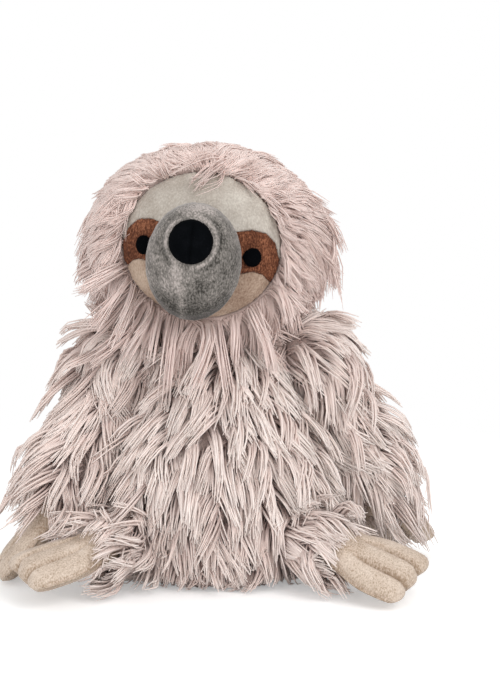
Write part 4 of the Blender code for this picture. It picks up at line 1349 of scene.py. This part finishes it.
class StitchTree:
    """Geometry Nodes tree that sets a row of stitches along every edge path of a mesh."""

    INPUTS = (
        ("Geometry", "Geometry", None), ("Pitch", "Float", 0.0024), ("Stitch", "Float", 0.0017),
        ("Thread", "Float", 0.00022), ("Material", "Material", None),
    )
    SIDES, STEPS = 6, 3
    SLIMMER = 0.55

    def __init__(self) -> None:
        """Build the tree once, for every seam."""
        self.tree = geometry_tree("stitch_row", self.INPUTS)
        self._build()

    def _build(self) -> None:
        """Join the whole tree."""
        g = Graph(self.tree)
        given = self.tree.nodes.new("NodeGroupInput").outputs
        paths = g.add("GeometryNodeMeshToCurve", {"Mesh": given["Geometry"]})
        spots = g.add("GeometryNodeCurveToPoints", {"Curve": paths, "Length": given["Pitch"]}, mode="LENGTH")
        turn = g.add("FunctionNodeAlignRotationToVector", {"Vector": g.out(spots, "Tangent")}, axis="Z")
        values = {
            "Vertices": self.SIDES, "Side Segments": self.STEPS,
            "Radius": given["Thread"], "Depth": given["Stitch"],
        }
        stitch = g.out(g.add("GeometryNodeMeshCylinder", values), "Mesh")
        place = g.position()
        parts = g.add("ShaderNodeSeparateXYZ", {"Vector": place})
        way = g.math("DIVIDE", parts.outputs["Z"], g.product(given["Stitch"], 0.5))
        thin = g.math("SUBTRACT", 1.0, g.product(way, way, self.SLIMMER))
        slim = g.vector("MULTIPLY", place, g.add("ShaderNodeCombineXYZ", {"X": thin, "Y": thin, "Z": 1.0}))
        stitch = g.add("GeometryNodeSetPosition", {"Geometry": stitch, "Position": slim})
        values = {"Points": g.out(spots, "Points"), "Instance": stitch, "Rotation": turn}
        sewn = g.add("GeometryNodeInstanceOnPoints", values)
        g.give(g.add("GeometryNodeRealizeInstances", {"Geometry": sewn}), given["Material"])


def run_tree(
    thing: Object, tree: NodeTree, chosen: dict[str, object]
) -> Object:
    """Run a Geometry Nodes tree on an object and keep its result as a plain mesh.

    Args:
        thing: The object, which is changed.
        tree: The tree.
        chosen: The inputs' values by name.

    Returns:
        The same object.
    """
    modifier = thing.modifiers.new(tree.name, "NODES")
    modifier.node_group = tree
    for item in tree.interface.items_tree:
        if item.in_out == "INPUT" and item.name in chosen:
            modifier[item.identifier] = chosen[item.name]
    return settled(thing)


@dataclass
class Features:
    """Nose of black pile with a faint crease, and two embroidered eyes."""

    face: FaceFrame
    voxel: float = 0.0008
    crease: float = 0.0004
    crease_width: float = 0.0010
    crease_across: float = 0.001
    mottle_size: float = 0.006
    eye_radius: float = 0.0062
    pad_sides: int = 16

    def build(self, materials: Materials) -> list:
        """The nose and both eyes."""
        threads = ThreadTree()
        nose = self.nose(materials["black"])
        return [nose, *(self.eye(side, threads, materials) for side in ("left", "right"))]

    def rounded(self, places: Array) -> Array:
        """The pad's places, with the flat facets of its sides made round."""
        local = self.face.local(places)
        middle = (local.max(axis=0) + local.min(axis=0)) / 2.0
        offset = local - middle
        corner = math.tau / self.pad_sides
        turn = np.mod(np.arctan2(offset[:, 1], offset[:, 0]), corner) - corner / 2.0
        local[:, :2] = middle[:2] + offset[:, :2] * (np.cos(turn) / math.cos(corner / 2.0))[:, None]
        return self.face.world(local)

    def nose(self, material: Material) -> Object:
        """Round pad with a crease down its middle, and painted shade along the crease."""
        nose = remeshed("nose_pad", merged_mesh("nose"), self.voxel, 4)
        places, normals = points_of(nose.data)
        places = self.rounded(places)
        across, _, _ = self.face.local(places).T
        facing = clamped(normals @ self.face.axes()[2])
        crease = bump_at(across - self.crease_across, self.crease_width) * facing
        nose.data.vertices.foreach_set("co", (places - normals * (crease * self.crease)[:, None]).ravel())
        # Random mottle, with painted shade in the crease.
        set_tone(nose.data, 0.3 * noise_at(places, self.mottle_size, 3.0) - 0.6 * crease)
        dress_piece(nose, material, "head", "nose")
        return nose

    def eye(self, side: str, threads: ThreadTree, materials: dict) -> Object:
        """Threads laid side by side over a low pad."""
        node = f"{side}_eye"
        pad = remeshed(f"{node}_embroidery", merged_mesh(node), self.voxel, 2)
        places, _ = points_of(pad.data)
        centre = places.mean(axis=0)
        out = Vector(np.linalg.svd(places - centre, full_matrices=False)[2][2])
        if out.dot(Vector(self.face.axes()[2])) < 0.0:
            out.negate()
        up = Vector(self.face.axes()[1])
        up = (up - out * up.dot(out)).normalized()
        sewn = linked(f"{node}_threads", pad.data.copy())
        chosen = {
            "Centre": Vector(centre), "Across": up.cross(out), "Up": up, "Out": out,
            "Radius": self.eye_radius, "Material": materials["black"],
        }
        run_tree(sewn, threads.tree, chosen)
        form = bmesh.new()
        form.from_mesh(pad.data)
        form.from_mesh(sewn.data)
        form.to_mesh(pad.data)
        form.free()
        bpy.data.objects.remove(sewn)
        dress_piece(pad, materials["black"], "head", node)
        return pad


@dataclass
class Mitten:
    """One three-clawed mitten: a stuffed flat bag on a round root, with two sewn channels."""

    node: str
    body: str
    joint: str
    length: float = 0.0555
    half_width: float = 0.0256
    half_thickness: float = 0.0094
    root_radius: float = 0.0147
    root_start: float = 22.0
    root_end: float = 95.0
    root_rings: int = 9
    rings: int = 38
    half_points: int = 56
    first_share: float = 0.05
    table_start: float = 0.02
    notch: float = 0.0052
    channel_place: float = 1.0 / 3.0
    channel_width: float = 0.06
    edge_start: float = 0.955
    edge_power: float = 2.2
    flat_from: float = 0.04
    flat_over: float = 0.3
    lip: float = 0.0006
    seam_lift: float = 0.0001
    edge_seam: float = 0.93
    edge_seam_from: int = 4
    channel_seam_from: int = 8
    seam_to: int = 2
    wide: Knots = (
        (0.02, 0.64), (0.16, 0.72), (0.32, 0.88), (0.5, 0.98), (0.68, 1.0), (0.84, 0.99), (0.94, 0.96),
        (1.0, 0.90),
    )
    thick: Knots = (
        (0.02, 1.52), (0.16, 1.2), (0.32, 1.1), (0.5, 1.05), (0.68, 1.02), (0.84, 0.94), (0.94, 0.68),
        (1.0, 0.12),
    )
    channel: Knots = (
        (0.02, 0.0), (0.16, 0.1), (0.3, 0.36), (0.5, 0.5), (0.7, 0.6), (0.9, 0.7), (1.0, 0.8),
    )
    scallop: Knots = ((0.02, 0.0), (0.5, 0.0), (0.68, 0.04), (0.84, 0.25), (0.94, 0.6), (1.0, 0.85))

    def axes(self) -> tuple[Array, Array]:
        """Middle of the round root, and the directions across the claws, through them and along them."""
        joint = next(j for j in frame["record"]["behaviour"]["joints"] if j["name"] == self.joint)
        middle = np.array(joint["pos_m"])
        across = Vector(joint["axis"]).normalized()
        form = merged_mesh(self.node)
        along = sum((point.co for point in form.verts), Vector()) / len(form.verts) - Vector(middle)
        form.free()
        along = (along - across * along.dot(across)).normalized()
        return middle, np.array((across, along.cross(across), along))

    def grooves(self, x: Array, width: float) -> Array:
        """One in both channels, falling to nothing beyond this width of the half."""
        return sum(bump_at(x - side * self.channel_place, width) for side in (-1.0, 1.0))

    def ring(
        self, place: float, wide: float, thick: float, channel: float, notch: float, flat: float
    ) -> Array:
        """One ring of the mitten, round both faces.

        Args:
            place: How far along the claws it lies.
            wide: Half of its width.
            thick: Half of its thickness.
            channel: Depth of the two channels, as a share of the thickness.
            notch: How far it falls back between the claws.
            flat: From a round root at zero to a flat bag at one.

        Returns:
            Its points, across the claws, through them and along them.
        """
        turn = math.tau * (np.arange(2 * self.half_points) + 0.5) / (2 * self.half_points)
        x = np.cos(turn)
        bag = np.sqrt(clamped(1.0 - (np.abs(x) / self.edge_start) ** self.edge_power))
        nearest = np.clip(np.round(x * 1.5), -1, 1) / 1.5
        lobe = np.sqrt(clamped(1.0 - (3.0 * (x - nearest)) ** 2))
        cut = 1.0 - channel * self.grooves(x, self.channel_width)
        height = thick * (flat * bag * cut + (1.0 - flat) * np.sqrt(1.0 - x * x))
        height = np.hypot(height, self.lip * flat)
        return np.stack((wide * x, np.sign(np.sin(turn)) * height, place - notch * (1.0 - lobe)), axis=1)

    def mesh(self) -> tuple[Array, list]:
        """Points and faces of the closed mitten, in its own axes."""
        rings = []
        for turn in np.radians(np.linspace(self.root_start, self.root_end, self.root_rings)):
            radius = self.root_radius * math.sin(turn)
            rings.append(self.ring(-self.root_radius * math.cos(turn), radius, radius, 0.0, 0.0, 0.0))
        shares = np.linspace(self.first_share, 1.0, self.rings)
        tables = [through(table, shares) for table in (self.wide, self.thick, self.channel, self.scallop)]
        for share, wide, thick, channel, scallop in zip(shares, *tables):
            flat = min(1.0, max(0.0, (share - self.flat_from) / self.flat_over))
            sizes = (wide * self.half_width, thick * self.half_thickness, channel, scallop * self.notch, flat)
            rings.append(self.ring(share * self.length, *sizes))
        count = 2 * self.half_points
        faces = []
        for row in range(len(rings) - 1):
            for step in range(count):
                after = (step + 1) % count
                low, high = row * count, (row + 1) * count
                faces.append((low + step, high + step, high + after, low + after))
        faces.append(tuple(range(count)))
        tip = (len(rings) - 1) * count
        for step in range(self.half_points - 1):
            other = count - 1 - step
            faces.append((tip + step, tip + other, tip + other - 1, tip + step + 1))
        return np.concatenate(rings), faces

    def start(self) -> Object:
        """The sewn bag before it is stuffed, in its place."""
        middle, axes = self.axes()
        local, faces = self.mesh()
        name = self.node.replace("_cover", "_mitten")
        mesh = bpy.data.meshes.new(name)
        mesh.from_pydata((local @ axes + middle).tolist(), [], faces)
        form = bmesh.new()
        form.from_mesh(mesh)
        bmesh.ops.recalc_face_normals(form, faces=form.faces)
        form.to_mesh(mesh)
        form.free()
        bag = linked(name, mesh)
        held = bag.vertex_groups.new(name="sewn")
        for index, weight in enumerate(self.pins(local)):
            if weight > 0.0:
                held.add([index], float(weight), "REPLACE")
        return bag

    def on_bag(self, local: Array) -> tuple[Array, Array, Array]:
        """Share of the way to the tips, place across from -1 to 1, and the channels' depth, at each point."""
        share = local[:, 2] / self.length
        listed = np.clip(share, self.table_start, 1.0)
        width = np.maximum(through(self.wide, listed) * self.half_width, 1e-4)
        return share, local[:, 0] / width, through(self.channel, listed)

    def pins(self, local: Array) -> Array:
        """How firmly each point is sewn: in the channels, along the edge, at the tips and on the root."""
        share, x, depth = self.on_bag(local)
        channel = self.grooves(x, 0.07) * clamped(depth * 1.6)
        edge = clamped((np.abs(x) - 0.88) / 0.06)
        root = clamped((0.012 - local[:, 2]) / 0.008)
        tip = clamped((share - 0.93) / 0.04)
        return clamped(np.maximum.reduce((channel, edge, root, tip)))

    def tone(self, local: Array) -> Array:
        """Painted shade in the channels, along the edge and under the cuff, over a random mottle."""
        _, x, depth = self.on_bag(local)
        tone = 0.3 * noise_at(local, 0.011, 6.0) - 0.75 * self.grooves(x, 0.075) * clamped(depth * 1.4)
        tone -= 0.45 * clamped((np.abs(x) - 0.93) / 0.04)
        return tone - 0.3 * clamped((0.016 - local[:, 2]) / 0.01)

    def finish(self, bag: Object, stitches: StitchTree, materials: dict) -> list:
        """Dress the stuffed mitten and sew its edge and channels."""
        middle, axes = self.axes()
        bag.vertex_groups.clear()
        set_tone(bag.data, self.tone((points_of(bag.data)[0] - middle) @ axes.T))
        dress_piece(bag, materials["mitten"], self.body, self.node)
        made = [bag]
        for seam in Seam:
            row = linked(f"{bag.name}_{seam.value}_stitches", self.seam_path(bag, seam))
            run_tree(row, stitches.tree, {"Material": materials["stitch"]})
            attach(row, self.body)
            made.append(row)
        return made

    def seam_path(self, bag: Object, seam: Seam) -> Mesh:
        """Edge paths on the mitten's surface where this seam is sewn."""
        places, normals = points_of(bag.data)
        places = places + normals * self.seam_lift
        count = 2 * self.half_points
        at_edge = seam is Seam.MITTEN_EDGE
        across = self.edge_seam if at_edge else self.channel_place
        step = self.half_points / math.pi * math.acos(across) - 0.5
        columns = [round(step), round(self.half_points - 1 - step)]
        columns += [count - 1 - column for column in columns]
        first = self.root_rings + (self.edge_seam_from if at_edge else self.channel_seam_from)
        rows = range(first, self.root_rings + self.rings - self.seam_to)
        points, edges = [], []
        for column in columns:
            begin = len(points)
            points += [places[row * count + column] for row in rows]
            edges += [(begin + i, begin + i + 1) for i in range(len(rows) - 1)]
        mesh = bpy.data.meshes.new("seam_path")
        mesh.from_pydata(points, edges, [])
        return mesh


@dataclass
class Stuffing:
    """Blows the sewn bags up as their filling does, with Blender's cloth."""

    pressure: float = 14.0
    stiffness: float = 12.0
    bending: float = 2.0
    frames: int = 20
    most: float = 0.0011
    mass: float = 0.15

    def fill(self, bags: list) -> None:
        """Fill every bag in one run, and keep no point further than the cap from where it was.

        Args:
            bags: The bags, whose "sewn" points stay in place.
        """
        before = [points_of(bag.data)[0] for bag in bags]
        scene = bpy.context.scene
        for bag in bags:
            cloth = bag.modifiers.new("filling", "CLOTH")
            cloth.settings.effector_weights.gravity = 0.0
            cloth.settings.use_pressure = True
            cloth.settings.uniform_pressure_force = self.pressure
            cloth.settings.mass = self.mass
            cloth.settings.tension_stiffness = self.stiffness
            cloth.settings.compression_stiffness = self.stiffness
            cloth.settings.bending_stiffness = self.bending
            cloth.settings.vertex_group_mass = "sewn"
            cloth.point_cache.frame_start = 1
            cloth.point_cache.frame_end = self.frames
        for now in range(1, self.frames + 1):
            scene.frame_set(now)
        for bag, start in zip(bags, before):
            settled(bag)
            places, _ = points_of(bag.data)
            moved = places - start
            far = np.linalg.norm(moved, axis=1, keepdims=True)
            kept = start + moved * np.minimum(1.0, self.most / np.maximum(far, 1e-9))
            bag.data.vertices.foreach_set("co", kept.ravel())
            LOG.info("%s: filled, moved up to %.2f mm", bag.name, 1000.0 * float(far.max()))
        scene.frame_set(1)


@dataclass
class HeadTuft(HeadCoat):
    """A few long strands of the hood that fall over the face."""

    label: str = "tuft"
    root_at: tuple[float, float] = (0.0, 0.05)
    fall: tuple[float, float] = (0.0, -1.0)
    reach: float = 0.003
    strands: float = 1200000.0
    locks: float = 250000.0
    radius: float = 0.00036
    gather: float = 0.8
    spread: float = 0.16
    lock_spread: float = 0.3
    lift: float = 0.2
    pale: float = 0.5
    unruly: float = 0.25
    curl: float = 0.01

    def name(self) -> str:
        """Name of the tuft."""
        return f"head_{self.label}"

    def parts(self, places: Array) -> dict[str, Array]:
        """One piece."""
        return {"": np.ones(len(places))}

    def cover(self, places: Array, normals: Array) -> Array:
        """Only round its root, at the face's edge."""
        across, up, out = self.face.local(places).T
        near = np.hypot(across - self.root_at[0], up - self.root_at[1])
        return (near < self.reach) * (out > 0.0)

    def lengths(self, places: Array, normals: Array) -> Array:
        """Alike for the whole tuft."""
        return np.full(len(places), self.length)

    def pales(self, places: Array, normals: Array) -> Array:
        """Alike for the whole tuft."""
        return np.full(len(places), self.pale)

    def comb(self, places: Array, normals: Array) -> Array:
        """Over the face's edge and down it."""
        across, up, _ = self.face.axes()
        fall = across * self.fall[0] + up * self.fall[1]
        return np.tile(fall, (len(places), 1)) + self.unruly * swirl(places, self.curl, self.seed)


@dataclass
class Stage:
    """Pale floor and backdrop, soft studio light and the camera at the photograph's angle."""

    distance: float = 1.5
    elevation: float = 10.0
    target: tuple[float, float, float] = (0.0208, 0.0, 0.156)
    lens: float = 117.5
    floor_size: float = 1.2
    floor_glow: float = 0.32
    floor_tone: float = 0.9
    fade_from: float = 0.22
    fade_to: float = 0.5
    sky: float = 0.68
    lamps: tuple[tuple[str, tuple[float, float, float], float, float], ...] = (
        ("key", (0.7, -0.95, 0.95), 0.8, 8.4),
        ("fill", (-0.6, -1.1, 0.3), 0.9, 4.4),
        ("back", (0.1, 0.9, 1.0), 0.8, 4.0),
    )

    def build(self) -> None:
        """Make the floor, the light and the camera."""
        self.floor()
        self.light()
        self.camera()

    def camera(self) -> None:
        """Camera a little above the toy, straight in front of it."""
        data = bpy.data.cameras.new("camera")
        data.lens = self.lens
        camera = bpy.data.objects.new("camera", data)
        bpy.context.scene.collection.objects.link(camera)
        rise = math.radians(self.elevation)
        back = Vector((0.0, -math.cos(rise), math.sin(rise)))
        camera.location = Vector(self.target) + back * self.distance
        camera.rotation_euler = (-back).to_track_quat("-Z", "Y").to_euler()
        bpy.context.scene.camera = camera

    def floor(self) -> None:
        """White floor that keeps the toy's shadow and fades into the backdrop."""
        form = bmesh.new()
        bmesh.ops.create_grid(form, x_segments=1, y_segments=1, size=self.floor_size)
        mesh = bpy.data.meshes.new("floor")
        form.to_mesh(mesh)
        form.free()
        floor = linked("floor", mesh)
        material = bpy.data.materials.new("white_floor")
        material.use_nodes = True
        graph = Graph(material.node_tree)
        material.node_tree.nodes.remove(material.node_tree.nodes["Principled BSDF"])
        place = graph.add("ShaderNodeTexCoord").outputs["Object"]
        far = graph.add("ShaderNodeVectorMath", {0: place}, operation="LENGTH")
        values = {"Value": far.outputs["Value"], "From Min": self.fade_from, "From Max": self.fade_to}
        fade = graph.add("ShaderNodeMapRange", values, interpolation_type="SMOOTHSTEP")
        matt = graph.add("ShaderNodeBsdfDiffuse", {"Color": (*[self.floor_tone] * 3, 1.0)})
        seen = graph.add("ShaderNodeLightPath").outputs["Is Camera Ray"]
        glow = graph.add("ShaderNodeEmission", {"Strength": graph.math("MULTIPLY", seen, self.floor_glow)})
        pale = graph.add("ShaderNodeAddShader", {0: matt, 1: glow})
        clear = graph.add("ShaderNodeBsdfTransparent")
        mixed = graph.add("ShaderNodeMixShader", {0: fade, 1: pale, 2: clear})
        graph.feed(material.node_tree.nodes["Material Output"].inputs["Surface"], mixed)
        mesh.materials.append(material)

    def light(self) -> None:
        """Even sky light, white to the camera, with a soft key, a fill and a light from behind."""
        world = bpy.data.worlds.new("studio")
        bpy.context.scene.world = world
        world.use_nodes = True
        graph = Graph(world.node_tree)
        seen = graph.add("ShaderNodeLightPath").outputs["Is Camera Ray"]
        strength = graph.add("ShaderNodeMix", {"Factor": seen, "A": self.sky, "B": 1.0}, data_type="FLOAT")
        sky = world.node_tree.nodes["Background"]
        sky.inputs["Color"].default_value = (1.0, 1.0, 1.0, 1.0)
        graph.feed(sky.inputs["Strength"], strength)
        for lamp in self.lamps:
            self.lamp(*lamp)

    def lamp(self, name: str, place: tuple[float, float, float], size: float, power: float) -> None:
        """Square soft light that faces the toy."""
        data = bpy.data.lights.new(name, "AREA")
        data.size = size
        data.energy = power
        lamp = bpy.data.objects.new(name, data)
        bpy.context.scene.collection.objects.link(lamp)
        lamp.location = place
        aim = Vector(self.target) - Vector(place)
        lamp.rotation_euler = aim.to_track_quat("-Z", "Y").to_euler()


def finish_nodes(materials: Materials) -> None:
    """Give every CAD node its own fabric: the fillings and the pouch are the ones that stay."""
    for name, node in frame["nodes"].items():
        chosen = "fibre" if "stuffing" in name else "pouch" if "pouch" in name else "under"
        node.data.materials.clear()
        node.data.materials.append(materials[chosen])


def joint_place(name: str) -> tuple[float, float, float]:
    """Where the frame has this joint."""
    return next(tuple(j["pos_m"]) for j in frame["record"]["behaviour"]["joints"] if j["name"] == name)


def sew_paws(materials: Materials) -> None:
    """Make, fill and sew the four mittens."""
    mittens = []
    for side in ("left", "right"):
        for part, joint in (("hand", "wrist"), ("foot", "ankle")):
            paw = f"{side}_{part}"
            mittens.append(Mitten(f"{paw}_cover", paw, f"{side}_{joint}_bend"))
    bags = [mitten.start() for mitten in mittens]
    Stuffing().fill(bags)
    stitches = StitchTree()
    for mitten, bag in zip(mittens, bags):
        pieces = mitten.finish(bag, stitches, materials)
        LOG.info("%s: %d pieces", mitten.node, len(pieces))


def limb_coats() -> list[LimbCoat]:
    """Coats of the arms and legs, with the looks that the photograph shows on each, and painted shade on the
    right arm.
    """
    looks = {
        "left_arm": {"shade": 0.42, "cuff_share": 0.6, "cuff_outward": 0.1},
        # The right arm's low shade is painted shade, on the side of the toy away from the key light.
        "right_arm": {"shade": 0.12},
        "left_leg": {"shade": 0.42, "weight": 0.1},
        "right_leg": {"shade": 0.42, "weight": 0.1},
    }
    coats = []
    for side, seed in (("left", 7), ("right", 9)):
        for part, joints, length, width in (
            ("arm", ("shoulder_lift", "wrist_bend"), 0.035, 0.022),
            ("leg", ("hip_lift", "ankle_bend"), 0.036, 0.018),
        ):
            limb = f"{side}_{part}"
            pivot, end = (joint_place(f"{side}_{joint}") for joint in joints)
            names = (limb, f"{limb}_cover", f"{limb}_stuffing")
            placed = {"pivot": pivot, "end": end, "half_width": width}
            coats.append(LimbCoat(*names, length, seed=seed, lift=0.66, **placed, **looks[limb]))
            seed += 20
    return coats


def grow_fur(materials: Materials) -> None:
    """Grow the fur of the torso, the limbs and the head, and the two tufts over the face."""
    skins = ("_cover", "panel", "patch")
    covers = [name for name in frame["nodes"] if any(word in name for word in skins) and "muzzle" not in name]
    hull = whole_hull(covers, 0.0035)
    tree = FurTree()
    hood = ("head", "head_cover", "head_stuffing")
    sunk = {"wall": 0.0036, "sink": 0.006, "sink_from": 0.0085, "rings": 5, "fluff": 0.006}
    head = HeadCoat(
        *hood, 0.036, seed=5, strands=360000.0, locks=22000.0, radius=0.00056, lift=0.3,
        gather=0.35, spread=0.3, lock_spread=0.36, **sunk,
    )
    torso = TorsoCoat("torso", "torso_cover", "torso_stuffing", 0.032, seed=3, lift=0.6)
    for coat in (torso, *limb_coats(), head):
        pile, *strands = coat.build(tree, materials, hull)
        LOG.info("%s: %d pieces", coat.node, len(strands) + 1)
    for tuft in (
        HeadTuft(*hood, 0.040, seed=51, label="forelock", root_at=(0.006, 0.0535), fall=(-0.3, -1.0)),
        HeadTuft(*hood, 0.034, seed=57, label="temple_wisp", root_at=(-0.049, 0.028)),
    ):
        pieces = tuft.dress(pile, tree, materials, hull)
        LOG.info("%s: %d pieces", tuft.name(), len(pieces))
    bpy.data.objects.remove(hull)


def main() -> None:
    """Build the toy's looks, piece by piece."""
    logging.basicConfig(level=logging.INFO, format="%(message)s")
    noise.seed_set(NOISE_SEED)
    bpy.context.scene.view_settings.view_transform = "Standard"
    Stage().build()
    nap = nap_group()
    finishes = {
        "under": UNDER_PILE, "forehead": FOREHEAD, "patch": PATCH, "cheek": CHEEK, "muzzle": MUZZLE,
        "black": BLACK, "mitten": MITTEN, "stitch": STITCH, "fibre": FIBRE, "pouch": POUCH_CLOTH,
    }
    materials = {name: finish.material(nap) for name, finish in finishes.items()}
    materials["body_fur"] = BODY_FUR.material()
    materials["head_fur"] = HEAD_FUR.material()
    finish_nodes(materials)
    face = FaceFrame()
    Muzzle(face).build(materials["muzzle"])
    FacePanels(face).build(materials)
    Features(face).build(materials)
    sew_paws(materials)
    grow_fur(materials)


if __name__ == "__main__":
    main()
